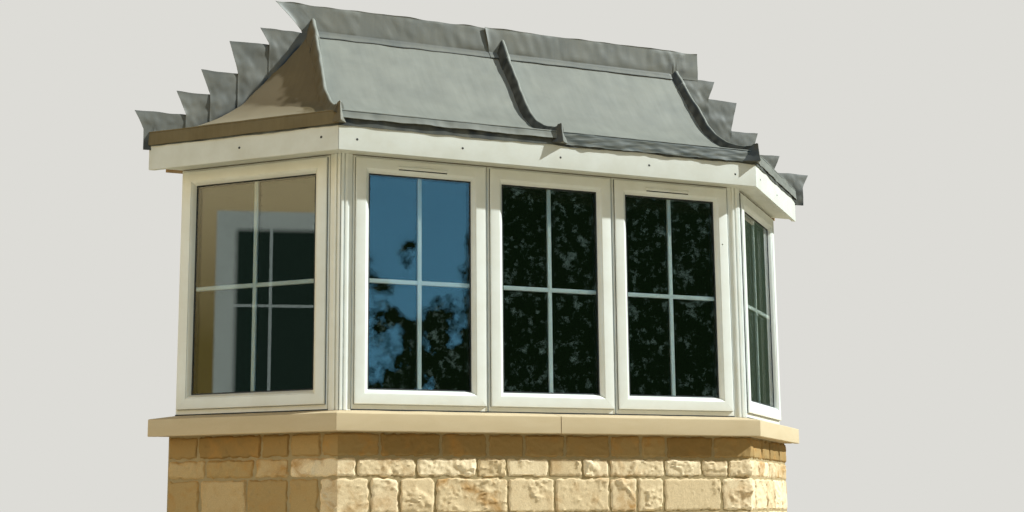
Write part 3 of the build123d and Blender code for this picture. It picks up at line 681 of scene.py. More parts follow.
# %% Build the windows
JOINT = 2.4
frame_profile = rounded(
    [(0, 116), (JOINT, 115), (JOINT, FRAME_Y), (45, FRAME_Y), (45, FRAME_BACK), (0, FRAME_BACK)],
    [0.4, 0.4, 1.6, 1, 1.5, 1.5])
curve = np.linspace(0, 1, 9)
ovolo = np.stack([45.0 + 15.5 * curve, 95.2 + 16.3 * curve ** 1.9], -1)
sash_profile = np.concatenate([
    rounded([(0, 104), (0, 92), (43, 92), (45, 93.6)], [0.3, 3.2, 1.2, 0.3])[2:-2], ovolo,
    [(61.5, 112.0), (62.6, 114.0), (52.5, 114.0), (52.5, 138.0), (62.6, 138.0), (62.6, 141.0), (60, 148),
     (56, 150.0), (35.5, 150.0), (35.5, 104.0)]])
seal_profiles = (np.array([(60.8, 111.4), (65.6, 112.4), (66.2, 114.0), (60.8, 114.0)]),
                 np.array([(60.8, 138.0), (64.6, 138.0), (64.2, 139.6), (60.8, 140.6)]),
                 np.array([(-0.8, 99.0), (0.9, 99.0), (0.9, 104.3), (-0.8, 104.3)]))
spacer_profile = np.array([(52.5, 118.2), (65.5, 118.2), (65.5, 133.8), (52.5, 133.8)])
# margins of a sash in its frame: side, foot, head; a frame's foot and head rails are wider than its stiles
SASH = (11.5, 25.0, 12.0)
FRAME_WIDTHS = (1.0, 58.5 / 45, 45.5 / 45)
# from a sash's edge to the edge of its sealed unit, and to the bare glass
UNIT_EDGE, SIGHT_LINE = 53.0, 65.5
OUTER_PANE, INNER_PANE, BAR_DEPTHS, BAR = (114.2, 118.0), (134.0, 137.8), (121.0, 131.0), 9

for window, (face, middle, width) in WINDOWS.items():
    frame_loop = loop_mesh(welded_loop(window, (0, 0, 0), frame_profile, FRAME_WIDTHS))
    piece(f"window_frame_{window}", [frame_loop], upvc, "upvc", [f"frame_{window}"])
    sash_loop = loop_mesh(welded_loop(window, SASH, sash_profile))
    piece(f"window_sash_{window}", [sash_loop], upvc, "upvc", [f"sash_{window}"])
    # painted shadow: a black rubber strip along each frame's foot stands for the shadow gap between frame
    # and sill
    foot_shadow_strip = place(face, middle + np.array([[-width / 2], [width / 2]]),
                       np.array([103.2, 103.2, 106.0, 106.0]), SEAT + np.array([0.2, 5.0, 5.0, 0.2]))
    *seals, spacer = (loop_mesh(welded_loop(window, SASH, profile, weld=0.0))
                      for profile in (*seal_profiles, spacer_profile))
    piece(f"window_seals_{window}", [run_mesh(foot_shadow_strip), *seals], rubber, "upvc")
    piece(f"spacer_{window}", [spacer], spacer_metal, "glazing")
    inset = np.array(SASH) + UNIT_EDGE
    outer_pane, inner_pane = (panel(window, *inset, *depths) for depths in (OUTER_PANE, INNER_PANE))
    piece(f"outer_pane_{window}", [outer_pane], clear, "glazing", [f"glass_{window}"])
    piece(f"inner_pane_{window}", [inner_pane], room_shade_pane, "glazing")
    reach = width / 2 - SASH[0] - SIGHT_LINE
    low, high = SEAT + SASH[1] + SIGHT_LINE, HEAD - SASH[2] - SIGHT_LINE
    level = (low + high) / 2
    boxes = ((-BAR, BAR, low, high), (-reach, -BAR - 0.2, level - BAR, level + BAR),
             (BAR + 0.2, reach, level - BAR, level + BAR))
    bars = [glazing_bar(window, *box, *BAR_DEPTHS) for box in boxes]
    piece(f"glazing_bars_{window}", bars, coated, "glazing")
print("windows:", {name: round(w[2], 1) for name, w in WINDOWS.items()})

# %% [markdown]
# ## Corner posts, fascia and soffit
# The angle between two frames is filled by a ribbed plastic post, and flat boards with mitred corners
# form the fascia. Both are plain extrusions, so their life is in eased edges, fine gaps and screws.

# %% Posts, boards and screws
nose_y = FRAME_Y - 8.0
nose, leg = nose_y * MITRE, CORNER_RUN + POST_LEG
# plan of the half of a post that lies on one face: (along, setback) from the corner
half_post = np.array([
    ((FRAME_Y + 4) * MITRE, FRAME_Y + 4), (nose + 3.0, nose_y + 4), (nose + 3.0, nose_y),
    (nose + 14, nose_y), (nose + 15, nose_y + 9), (nose + 20.5, nose_y + 9), (nose + 21.5, nose_y),
    (nose + 32.5, nose_y), (nose + 33.5, FRAME_Y), (leg - 1.0, FRAME_Y), (leg - 1.0, FRAME_Y + 12),
    (leg - 0.2, FRAME_Y + 12), (leg - 0.2, FRAME_BACK), (FRAME_BACK * MITRE, FRAME_BACK)])
along, setback = half_post.T
for side in ("left", "right"):
    front_half = place("front", 2 * HALF - along if side == "right" else along, setback, 0.0)[:, :2]
    side_half = place(side, along, setback, 0.0)[:, :2]
    plan = rounded(np.concatenate([front_half, side_half[-2:0:-1]]), 1.1, steps=3)
    rings = xyz(*plan.T, np.array([[SEAT], [HEAD]]))
    piece(f"ribbed_post_{side}", [run_mesh(rings)], upvc, "upvc", [f"corner_post_{side}"], smooth=30)

FELT, DECK, BOARD = 0.6, 18.0, 18
DECK_FOOT = EAVES - (LEAD + FELT + DECK) / np.cos(np.radians(7))
fascia_profile = rounded([(0, FASCIA), (BOARD, FASCIA), (BOARD, DECK_FOOT), (0, DECK_FOOT)],
                         [1.5, 1, 0.4, 0.4])
soffit_profile = rounded([(BOARD, HEAD), (FRAME_Y, HEAD), (FRAME_Y, HEAD + 10), (BOARD, HEAD + 10)],
                         [0.6] * 4)
soffits = []
for face in FACES:
    wall_y = 0.0 if face == "front" else -LEAD
    rings = course(face, fascia_profile, 30, wall_y=wall_y, gap=2.0)
    sway = 0.35 * ripple(rings, 500, 21)
    rings = rings + sway[..., None] * np.append(FACES[face][2], 0.0)
    piece(f"fascia_board_{face}", [run_mesh(rings)], board_upvc, "upvc", [f"fascia_{face}"])
    soffits.append(run_mesh(course(face, soffit_profile, 2, wall_y=wall_y)))
piece("soffit_boards", soffits, board_upvc, "upvc", ["soffit"])
print("fascia height:", round(DECK_FOOT - FASCIA, 1), "mm")

# %% [markdown]
# Small things finish a window: capped screws hold the boards, and a slim vent lies over a slot in the top
# rail, the slot a black strip of painted shade. A screw head is a low dome: a quarter circle turned round
# its axis, with its open side in the board.

# %% Screws and vents
# zinc-plated steel gone dull: grey with dark crusts in the recess
zinc = clouded("weathered_zinc_screw", "#2A2824", [(3, {}, None, "#55534C")], 0.6, Metallic=0.6)


def dome(centre, outward, radius=5.4, rise=2.0):
    """A quarter circle of four points turned round the outward axis in ten steps, closed at its back."""
    outward = np.asarray(outward, float) / np.linalg.norm(outward)
    side = np.cross(outward, [0.3, 0.2, 1.0] if abs(outward[2]) < 0.9 else [1.0, 0.0, 0.0])
    side /= np.linalg.norm(side)
    turn = np.linspace(0, 2 * np.pi, 10, endpoint=False)
    around = np.cos(turn)[:, None] * side + np.sin(turn)[:, None] * np.cross(outward, side)
    angle = np.linspace(0, 0.46 * np.pi, 4)[:, None, None]
    rings = np.asarray(centre) + radius * np.cos(angle) * around + (rise * np.sin(angle) - 0.4) * outward
    return run_mesh(rings)


SCREW_Z = FASCIA + 51
heads = [dome(place("front", HALF + x, 0.0, SCREW_Z + dz), (0, -1, 0))
         for x, dz in ((-914, -3), (-451, 1), (4, 0), (439, 2), (884, -2))]
heads += [dome(place("left", along, 0.0, SCREW_Z + dz), (-1, -1, 0)) for along, dz in ((81, 8), (471, 2))]
heads += [dome(place("right", along, 0.0, SCREW_Z), (1, -1, 0)) for along in (95, 470)]
# one more under the soffit, and a small one on the last front frame
heads += [dome((-1050.0, -440.0, HEAD), (0, 0, -1)), dome((860.0, -563.0, 1853.0), (0, -1, 0), radius=3.4)]
piece("screw_heads", heads, zinc, "upvc", smooth=50)

vent_profile = rounded([(92.2, 2076), (86.5, 2077), (86.5, 2087), (92.2, 2090)], [0.3, 1.5, 2.5, 0.3])
# painted shade: the slot under each canopy is a black rubber strip standing for the dark opening
slot_shade_profile = np.array([(91.6, 2071.5), (91.6, 2076.2), (93.0, 2076.2), (93.0, 2071.5)])
for window, (start, stop) in {"front_1": (-707, -483), "front_3": (468, 690)}.items():
    canopy = course("front", vent_profile, 2, start=HALF + start, stop=HALF + stop)
    slot = course("front", slot_shade_profile, 2, start=HALF + start + 4, stop=HALF + stop - 4)
    piece(f"vent_cover_{window}", [run_mesh(canopy)], upvc, "upvc")
    piece(f"vent_slot_shade_{window}", [run_mesh(slot)], rubber, "upvc")
print("screws:", len(heads))

# %% [markdown]
# ## Sheet lead
# Milled lead weathers to a soft grey patina. It is dressed by hand over boards: never flat, with broad
# dents, faint ripples and a wavering cut edge. Each bay is one sheet that runs up the swept roof
# and turns down over the drip; a grid follows that path, and smooth noise moves it along its normal.
# Rain draws its marks down the slope, so each sheet carries its own map, the distance along the eaves and
# down the fall, and a stain value that says where dirt has settled and where shade or light is painted.

# %% Lead materials


def lead_material(name, mid, bright, dirt_and_painted_light, roughness):
    """Weathered milled lead: soft clouds, faint runs down the fall, and a second colour where the stain
    value asks, which is dirt on some pieces and painted shade and light on others.
    """
    made, tree = new_material(name)
    laid = add(tree, "ShaderNodeAttribute", out="Vector", attribute_name="laid")
    stain = add(tree, "ShaderNodeAttribute", out="Fac", attribute_name="stain")
    fall = add(tree, "ShaderNodeMapping", {"Vector": laid, "Scale": (1.0, 0.10, 1.0)})
    cloud, streak, grain = (
        add(tree, "ShaderNodeTexNoise", {"Vector": where, "Scale": per_metre(size), "Detail": detail,
                                         "Roughness": rough, "Distortion": twist})
        for where, size, detail, rough, twist in (
            (laid, 150, 5.0, 0.55, 0.3), (fall, 24, 4.0, 0.6, 0.0), (laid, 9, 3.0, 0.5, 0.0)))
    runs = add(tree, "ShaderNodeMix", {0: 0.35, 2: cloud, 3: streak}, data_type="FLOAT")
    spread, sheen = (
        add(tree, "ShaderNodeMapRange", {"Value": value, **dict(zip(RAMP, limits))})
        for value, limits in ((runs, (0.32, 0.68)), (cloud, (0.0, 1.0, roughness - 0.12, roughness + 0.12))))
    colour = paint(mid)
    for share, coat in ((spread, bright), (stain, dirt_and_painted_light)):
        colour = add(tree, "ShaderNodeMix", {0: share, 6: colour, 7: paint(coat)}, 2, data_type="RGBA")
    surface(tree, colour, sheen, grain, 0.12, 0.5, Specular_IOR_Level=0.4)
    return made


# the sunny side is pale; the side in the lee is painted brown, painted shade, and there the stain value
# paints a paler foot, painted light
sheet_lead = lead_material("patinated_milled_lead", "#7E7E76", "#909087", "#3F433D", 0.6)
lee_shade_lead = lead_material("brown_painted_shade_lead", "#665739", "#7A6B4D", "#A0947D", 0.62)
# flashings: the dark colour is painted shade in crevices, creases and at the flap's foot
flashing_lead = lead_material("dressed_flashing_lead", "#6C6C66", "#7F7D73", "#24221E", 0.55)
# rolls: the dark colour is painted shade on flanks and beak faces turned from the key light; the brown one
# matches the shaded slope by the left hip
roll_lead = lead_material("roll_lead_with_painted_shade", "#7E7E76", "#909087", "#26251F", 0.55)
lee_shade_roll_lead = lead_material("brown_painted_shade_roll_lead", "#7E7E76", "#909087", "#62543A", 0.55)
# the apron is dark lead, partly painted shade under the turned-down lips
apron_lead = lead_material("stained_apron_lead_painted_shade", "#454640", "#66675F", "#24231F", 0.65)
print("lead materials:", sheet_lead.name, lee_shade_lead.name, flashing_lead.name, roll_lead.name)

# %% [markdown]
# ## The sweep of the roof
# The roof leaves the eaves at 7 degrees and meets the wall at 52.5 degrees, with an arc tangent to both
# between them. Every sheet and roll follows this one function of the setback.

# %% The swept roof
LOW_PITCH, HIGH_PITCH, FLAT = np.radians(7), np.radians(52.5), 25.0
HIP_IN = 60.0
SIDE_RATIO = (HIP_IN + DEPTH) / np.sqrt(2) / DEPTH
HIP_MITRE = {"front": HIP_IN / DEPTH, "side": (DEPTH - HIP_IN) / (DEPTH + HIP_IN)}


def roof_height(setback, eaves_lift=0.0, wall_lift=0.0):
    """Height at a setback: the low line, an arc tangent to both lines, then the high line to the wall."""
    low, high = EAVES + eaves_lift, TOP + wall_lift
    knee = (high - low - np.tan(HIGH_PITCH) * DEPTH) / (np.tan(LOW_PITCH) - np.tan(HIGH_PITCH))
    radius = (knee / np.cos(LOW_PITCH) - FLAT) / np.tan((HIGH_PITCH - LOW_PITCH) / 2)
    first = FLAT * np.cos(LOW_PITCH)
    centre_s = first - radius * np.sin(LOW_PITCH)
    centre_z = low + FLAT * np.sin(LOW_PITCH) + radius * np.cos(LOW_PITCH)
    last = centre_s + radius * np.sin(HIGH_PITCH)
    arc = centre_z - np.sqrt(np.maximum(radius ** 2 - (setback - centre_s) ** 2, 0))
    return np.where(setback < first, low + setback * np.tan(LOW_PITCH),
                    np.where(setback < last, arc, high - (DEPTH - setback) * np.tan(HIGH_PITCH)))


def normals(grid):
    """Unit normals of a grid of points: the cross product of its two directions of travel."""
    across_grid, up_grid = np.gradient(grid, axis=1), np.gradient(grid, axis=0)
    normal = np.cross(across_grid, up_grid)
    return normal / np.maximum(np.linalg.norm(normal, axis=-1, keepdims=True), 1e-9)


def eased(value, start, stop):
    """0 before start, 1 past stop, and a smooth step between: t squared times 3 - 2 t."""
    t = np.clip((value - start) / (stop - start), 0, 1)
    return t * t * (3 - 2 * t)


def lead_piece(name, sheets, material, nodes=()):
    """One object from lead sheets: each an outer grid, an inner grid, a map in mm and a stain value."""
    laid = np.concatenate([np.tile(sheet[2].reshape(-1, 3), (2, 1)) for sheet in sheets]) * MM
    stain = np.concatenate([np.tile(sheet[3].ravel(), 2) for sheet in sheets])
    return piece(name, [sheet_mesh(*sheet[:2]) for sheet in sheets], material, "sheet_lead", nodes, 60,
                 laid=laid, stain=np.clip(stain, 0, 1))


print("roof top at", round(float(roof_height(np.array(DEPTH))), 1), "mm")

# %% [markdown]
# ## Sheets and the apron under them
# A sheet follows the sweep from the foot of its turned-down lip to the wall. Its dents grow towards the lip,
# where a thin edge waves most. Behind the lips hangs a second strip, the apron.

# %% Roof sheets
DRIP = 2 * LEAD


def roof_path(drop, ratio, kick, rows=90):
    """(setback, height) points of a sheet's outer face: up the turned-down lip, over the drip and on."""
    z = np.append(np.linspace(EAVES - drop, EAVES - 12, 12), EAVES - np.array([9.5, 8.0, 6.5, 5.0, 3.4]))
    groove = 2.2 * np.exp(-((z - EAVES + 6.5) / 2.0) ** 2)
    lip = np.column_stack([groove - DRIP - kick * ((EAVES - z) / drop) ** 2.5, z])
    bend = np.array([(-4.7, EAVES - 1.5), (-2.4, EAVES - 0.3)])
    s = (DEPTH - LEAD) * np.linspace(0, 1, rows) ** 1.15
    return np.concatenate([lip, bend, np.column_stack([s * ratio, roof_height(s)])])


def painted_sunlit_foot(grid, t, setback):
    """Painted light on the slope in the lee: a paler patch below a line that climbs from the hip to the
    wall.
    """
    limit = np.interp(t, [0.19, 0.29, 0.48, 0.70, 1.0], [230, 313, 395, 444, 461]) * SIDE_RATIO
    wander = 26 * ripple(grid, 170, 91) + 14 * ripple(grid, 60, 92)
    fade = 1 - eased(setback + wander, limit - 22, limit + 12)
    return 0.85 * fade * eased(t + wander / 1500, 0.13, 0.22) * eased(setback, -2, 16)


def lead_bay(face, drop, kick, start, stop, columns, seed, wave, crease):
    """One bay of sheet lead: the path carried along a face, dented along its normal, with a wavering lip."""
    kind, ratio = ("front", 1.0) if face == "front" else ("side", SIDE_RATIO)
    s, z = roof_path(drop, ratio, kick).T
    first, last = ends(face, s, -LEAD, HIP_MITRE[kind])
    first = np.full_like(s, start) if start is not None else first
    last = np.full_like(s, stop) if stop is not None else last
    t = np.linspace(0, 1, columns)[None, :]
    along = first[:, None] + t * (last - first)[:, None]
    grid = place(face, along, s[:, None], z[:, None])
    out = normals(grid)
    out *= np.sign(out[len(s) // 2, columns // 2, 2])
    lip = np.clip((EAVES - 2 - z) / drop, 0, 1)[:, None]
    level = grid * [1, 1, crease]
    dent = 1.0 + 0.9 * ripple(grid, 230, seed) + 0.35 * ripple(grid, 80, seed + 1)
    waving = 1.1 + ripple(level, 130, seed + 2) + 0.4 * ripple(level, 45, seed + 3)
    dent = dent + np.sqrt(lip) * wave * waving
    flat = grid * [1, 1, 0]
    foot = lip * (wave * ripple(flat, 110, seed + 4) + 0.5 * wave * ripple(flat, 38, seed + 5))
    outer = grid + out * dent[..., None]
    outer[..., 2] += foot
    fall = np.append(0, np.cumsum(np.hypot(np.diff(s), np.diff(z))))[:, None]
    laid = xyz(along + 3000 * (seed % 7), fall, 0)
    if face == "left":
        stain = painted_sunlit_foot(grid, t, s[:, None])
    else:
        shaded = 0.85 if drop > 55 else 0.25
        stain = shaded * eased(EAVES - z, 0.5, 4)[:, None] * (0.9 + 0.25 * ripple(level, 60, seed + 6))
        # painted shade: a dark line along the drip's groove
        stain = stain + 0.7 * np.exp(-((EAVES - 7 - z) / 2.5) ** 2)[:, None]
    return outer, outer - out * LEAD, laid, stain


# each bay's face, drop and kick of its lip, two ends, columns, seed, wave and crease
BAYS = (("front_left", "front", 36.0, 6.0, None, HALF, 110, 31, 1.0, 1.0),
        ("front_right", "front", 60.0, 2.0, HALF, None, 110, 47, 1.8, 4.5),
        ("left", "left", 60.0, 0.0, None, None, 80, 61, 0.7, 1.0),
        ("right", "right", 52.0, 2.0, None, None, 80, 73, 1.6, 2.0))
for name, face, *shape in BAYS:
    lead_piece(f"lead_sheet_{name}", [lead_bay(face, *shape)], lee_shade_lead if face == "left" else sheet_lead,
               [f"roof_lead_{name}"])

aprons = []
for face, columns in (("front", 160), ("left", 70), ("right", 70)):
    z = np.linspace(EAVES - 66, EAVES - 12, 7)[:, None]
    first, last = ends(face, -LEAD, -LEAD)
    along = np.linspace(first + 0.5, last, columns)[None, :]
    grid = place(face, along, -LEAD, z)
    hang = (EAVES - 12 - z) / 54
    outward = -np.append(FACES[face][2], 0.0)
    flat = grid * [1, 1, 0]
    bulge = 0.4 + hang * (0.9 + 0.9 * ripple(flat, 130, 15))
    outer = grid + bulge[..., None] * outward
    outer[..., 2] += hang * (2.0 * ripple(flat, 210, 16) + ripple(flat, 70, 17))
    laid = xyz(along, -z, 0)
    aprons.append((outer, outer - LEAD * outward, laid, 0.3 + 0.4 * ripple(grid, 80, 18)))
lead_piece("eaves_apron_strips", aprons, apron_lead, ["eaves_apron"])
print("lead bays:", [bay[0] for bay in BAYS])

# %% [markdown]
# ## Wood-cored rolls
# Where two sheets meet, they are dressed over a tapered wooden roll, and at the eaves the spare lead is
# folded into a beak that hangs over the drip: the hardest work on such a roof. A roll is a rounded section
# carried up the sweep. Along its flanks it joins the roof at the roof's own height, so it sits down on
# both slopes. The beak is a stack of kite-shaped rings that widen downwards.

# %% Rolls and their beaks
# how far a roll's crest lies over the slope, at the eaves and at the wall
CREST_LIFT = (30, 62)
# beyond a hip, a step across counts as this much of a step down towards the eaves
ACROSS_HIP = 0.916
BEAK_TOP, BEAK_DEEP = EAVES + 30, 86


def roll_body(corner, lean, hand, peak, wander, first, last, thicker=0.0):
    """A section of 15 points from flank to flank: its shape mixes the crest's height and the roof's."""
    s = np.linspace(first, last, max(int((last - first) / 9), 8))[:, None]
    w = np.array([-22, -19, -15.5, -12, -8.5, -5, -1, 3.5, 7.5, 11.5, 14.5, 17, 19, 20.5, 22.0])
    share = np.array([0, 0.15, 0.31, 0.48, 0.65, 0.80, 0.93, 1, 0.985, 0.94, 0.84, 0.68, 0.48, 0.25, 0])
    late = np.clip(s / DEPTH, 0, 1) ** 4
    crest = roof_height(s, *CREST_LIFT) + peak * late + thicker
    roof = roof_height(s - ACROSS_HIP * np.maximum(w * hand, 0)) - 4
    z = share * crest + (1 - share) * roof
    z = np.concatenate([z, roof[:, -1:] - 8, roof[:, :1] - 8], 1)
    w = np.append(w * (1 + thicker / 20), [w[-1], w[0]])
    x = corner[0] + lean * s / DEPTH + wander * late + w
    rings = xyz(x, corner[1] + s, z)
    rings[..., 0] += 2.0 * ripple(rings[:, 7:8], 120, 51)
    rings[..., 2] += 1.6 * ripple(rings[:, 7:8], 105, 52) + 0.6 * ripple(rings, 30, 53)
    laid = xyz(w, s, hand * 2000)
    # painted shade: the left flank, turned from the key light, is darkened through the stain value
    painted_shade = eased(5 - w, 0, 7) * (0.92 + 0.1 * ripple(rings, 60, 54))
    return run_mesh(rings), laid.reshape(-1, 3), painted_shade.ravel()


def beak(corner, outward, right, left, spread_right, spread_left):
    """Rings from the roll's crest down to the apron's foot: tip and spreads grow with the depth t."""
    outward, right, left = (np.asarray(v, float) / np.linalg.norm(v) for v in (outward, right, left))
    depth = np.array([-0.035, -0.02, 0, 0.04, *np.linspace(0.1, 0.94, 9), 0.985, 1.0])
    shrink = np.array([0.3, 0.75, 0.95, *np.ones(10), 0.99, 0.93])
    rings = []
    for t, scale in zip(depth, shrink):
        go = max(t, 0)
        tip = outward * (26 + 16 * go ** 1.5)
        a, b = right * (8 + (spread_right - 8) * go ** 1.1), left * (8 + (spread_left - 8) * go ** 1.1)
        pinch = 0.10 + 0.16 * np.sin(np.pi * min(go * 1.15, 1))
        dent = outward * 30 * pinch
        kite = [a - outward * 3, a, a + (tip - a) * 0.33 - dent * 0.55, a + (tip - a) * 0.7 - dent * 0.5,
                tip * 0.955 + right * 3.2, tip, tip * 0.955 + left * 3.2, b + (tip - b) * 0.7 - dent * 0.5,
                b + (tip - b) * 0.33 - dent * 0.55, b, b - outward * 3, -outward * 26]
        plan = np.asarray(corner) + scale * np.array(kite)
        rings.append(xyz(*plan.T, BEAK_TOP - BEAK_DEEP * t))
    rings = np.stack(rings)
    rings[..., :2] += 0.9 * (ripple(rings, 42, 57)[..., None] * outward)
    low = rings[..., 2] < EAVES - 50
    rings[..., 2] += np.where(low, 1.2 * ripple(rings * [1, 1, 0], 40, 58), 0)
    laid = rings[..., [0, 2, 1]] * [1, -1, 1]
    # painted shade: the kite's left points, on faces turned from the key light, are darkened; the beak also
    # grows darker towards the bottom
    turned_away_shade = np.array([0, 0, 0, 0, 0.1, 0.4, 1, 1, 1, 1, 1, 0.5])
    stain = np.maximum(turned_away_shade * 0.85, 0.3 * eased(EAVES - rings[..., 2], 10, 40))
    return run_mesh(rings), laid.reshape(-1, 3), stain.ravel()


# %% [markdown]
# ## Three rolls
# The middle roll runs straight up; the hips lean inwards, the right one wanders, and each wears a thicker
# cap at the wall, where the flashing was dressed over it.

# %% Build the rolls
# each roll's corner, lean, hand, peak and wander, then its beak's directions and spreads
ROLLS = {
    "centre_roll": (((0.0, -DEPTH), 0.0, 0, 18.0, 5.0), ((0, -1), (1, 0), (-1, 0), 48, 48)),
    "hip_roll_left": (((-HALF, -DEPTH), HIP_IN, -1, 4.0, 0.0),
                      ((-HIP_IN, -DEPTH), (1, 0), (-1, 1), 34, 48)),
    "hip_roll_right": (((HALF, -DEPTH), -HIP_IN, 1, -28.0, 24.0),
                       ((HIP_IN, -DEPTH), (1, 1), (-1, 0), 48, 100)),
}
CAP_LENGTH = 78.0
for name, (body, kite) in ROLLS.items():
    parts, maps, stains = zip(roll_body(*body, -4.0, DEPTH - LEAD - 1.0),
                              roll_body(*body, DEPTH - CAP_LENGTH, DEPTH - LEAD - 0.5, thicker=4.0),
                              beak(body[0], *kite))
    # the left hip roll's flank gets brown painted shade, like the slope beside it
    finish = lee_shade_roll_lead if name == "hip_roll_left" else roll_lead
    piece(f"lead_{name}", parts, finish, "sheet_lead", [name], 50,
          laid=np.concatenate(maps) * MM, stain=np.concatenate(stains))
print("rolls:", list(ROLLS))

# %% [markdown]
# ## Flashings
# Where the roof meets the house wall, lead strips are turned up the wall. Along the top there are
# two lengths that lap near the middle; beside each slope the strip is cut in steps, one piece over the next.
# All were dressed down by hand, so they bulge, crumple at the hips and lift a little at free edges.

# %% Top flashing
HIP_WALL_X, WALL_X = HALF - HIP_IN, 1648.0
FLASHING_TOP, WING_FOOT = 2952.0, 2812.0
# the lead's face stands this far off the wall; it is crumpled round one point over the right hip
OFF_WALL, CRUMPLE_X, CRUMPLE_Z = 2.9, 957, 2852


def top_flashing(edge_left, edge_right, lifted, layer, columns, seed):
    """Rows run up the slope from the flap's foot, then up the wall; each end is a (foot x, top x)."""
    rise = np.array([0, 0.03, 0.1, 0.25, 0.42, 0.6, 0.76, 0.88, 0.94, 0.975, 1.0])[:, None]
    x = edge_left[0] + (edge_right[0] - edge_left[0]) * np.linspace(0, 1, columns)[None, :]
    beyond = eased(np.abs(x), HIP_WALL_X - 12, HIP_WALL_X + 16)
    crown = FLASHING_TOP - 4.5 + np.clip(3.2 * ripple(xyz(x, 0, 0), 160, seed), -4, 4)
    foot = TOP + 6 * (1 - beyond) + (WING_FOOT - TOP) * beyond
    wall_z = foot + rise * (crown - foot)
    slope_s = np.array([626.5, 628.5, 629.4, 634.0, 639.0, 644.0, 648.0])[:, None]
    slope_s = slope_s - 0.9 * ripple(xyz(x, 0, 0), 130, seed + 1)
    slope_z = roof_height(slope_s) + 8.0
    along_slope = np.linspace(0, 1, 7)[:, None]
    z = np.concatenate([slope_z * (1 - beyond) + (WING_FOOT - 5 + 4 * along_slope) * beyond, wall_z])
    y = np.concatenate([(slope_s - DEPTH) * (1 - beyond) - OFF_WALL * beyond, -OFF_WALL + 0 * wall_z])
    up = (z - TOP) / (FLASHING_TOP - TOP)
    shift_left, shift_right = (np.clip(up, 0, 1) * (edge[1] - edge[0]) for edge in (edge_left, edge_right))
    t = np.linspace(0, 1, columns)[None, :]
    x = x + shift_left * (1 - t) + shift_right * t
    spot = xyz(x, 0, z)
    theta, reach = np.arctan2(z - CRUMPLE_Z, x - CRUMPLE_X), np.hypot(z - CRUMPLE_Z, x - CRUMPLE_X)
    swell = 1.6 + 2.2 * ripple(spot, 190, seed + 2) + 0.9 * ripple(spot, 62, seed + 3)
    swell = np.maximum(swell, 0) + np.maximum(4.5 * np.sin(7 * theta) * np.exp(-reach / 75), 0)
    swell = swell * eased(up, 0.0, 0.2) * (1 - eased(up, 0.86, 1.0))
    free = np.exp(-(x - x[:, :1]) / 16)
    curl = 3.2 * eased(up, 0.95, 1.0) + lifted * free * eased(up, 0.02, 0.3)
    y = y - swell - curl - layer * LEAD
    outer = xyz(x, y, z)
    steep = np.array([0.0, -1.0, 0.0]) * np.ones_like(outer)
    on_slope = np.array([0.0, -np.sin(HIGH_PITCH), np.cos(HIGH_PITCH)])
    steep[:7] = steep[:7] * beyond[..., None] + on_slope * (1 - beyond[..., None])
    # painted shade: the creases round the crumple, the foot where the flap meets the slope and its lower
    # edge are darkened through the stain value; the top edge is darker too
    crease = np.clip(0.5 * ripple(spot * [1, 1, 2.5], 70, seed + 5) - 0.25, 0, 1) * np.exp(-reach / 120)
    stain = crease + 0.35 * eased(up, 0.93, 1.0) + 0.22 * (1 - eased(np.abs(up), 0.02, 0.12))
    stain[:2] = 0.6
    return outer, outer - steep * LEAD, xyz(x, -z, 0), stain


LAP_FOOT, LAP_TOP, LAP = -60.0, -85.0, 25
for side, shape in (("left", ((-980.0, -1116.0), (LAP_FOOT + LAP, LAP_TOP + LAP), 9.0, 0, 180, 21)),
                    ("right", ((LAP_FOOT, LAP_TOP), (1088.0, 1088.0), 8.0, 1, 200, 33))):
    length = top_flashing(*shape)
    lead_piece(f"top_flashing_{side}_length", [length], flashing_lead, [f"top_flashing_{side}"])
print("top flashing lap at x", LAP_FOOT, "to", LAP_TOP)

# %% [markdown]
# ## Steps down the sides
# Beside each slope the wall's strip climbs in steps, one a course of stone. A step's foot follows the roof
# and its top is level; where the next one laps it, its free edge slants and stands off the wall.

# %% Stepped flashings
SLANT, STEP_LAP, TAIL_FOOT, LAST_TOP = 42, 67, FASCIA + 87, 180
# along the wall, the side slope takes this many times the front slope's run to rise as far
WALL_STRETCH = 1.0916
# each step's top over the fascia's foot, and where it ends along the wall, from the roof's end
STEPS = {"left": ((698, 622, 473, 364, 262), (-475, -337, -216, -112, 66)),
         "right": ((698, 603, 449, 340, 254), (-462, -333, -213, -86, 85))}


def step_patch(hand, start, end, top, next_top, painted_shade, seed):
    """One step: its foot follows the slope, its top is level, and its free edge slants down and in."""
    u = np.linspace(0, 1, max(int((end - start) / 9), 12))[None, :]
    v = np.linspace(0, 1, 30)[:, None]
    x = start + u * (end - start)
    slope = roof_height((WALL_X - x) / WALL_STRETCH)
    tail = eased(x, WALL_X - 4, WALL_X + 4)
    foot = np.minimum((slope - 8) * (1 - tail) + TAIL_FOOT * tail, top - 25)
    wave = np.minimum(2.2 * ripple(xyz(x, 0, 0), 110, seed) - 1.5, 0)
    z = foot + v * (top + wave - foot)
    x = x - SLANT * u ** 3 * np.clip((top - z) / (top - next_top), 0, 1)
    spot = xyz(hand * x, 0, z)
    bulge = np.maximum(4.2 + 4.0 * ripple(spot, 125, 7) + 1.3 * ripple(spot, 45, 8), 0.2)
    stand = OFF_WALL + bulge * (1 - v ** 5) * (0.35 + 0.65 * u ** 0.4) + 1.8 * u + 0.8 * np.exp(-(1 - u) * 9)
    outer = xyz(hand * x, -stand, z)
    # painted shade: the strip is darkened just above the slope, where the crevice lies
    crevice_shade = np.exp(-np.maximum(z - slope, 0) / 13) * painted_shade * (0.7 + 0.5 * ripple(spot, 90, 9))
    stain = 0.22 + crevice_shade + 0.2 * eased(v, 0.93, 1.0)
    return outer, outer + [0, LEAD, 0], xyz(hand * x, -z, 0), stain


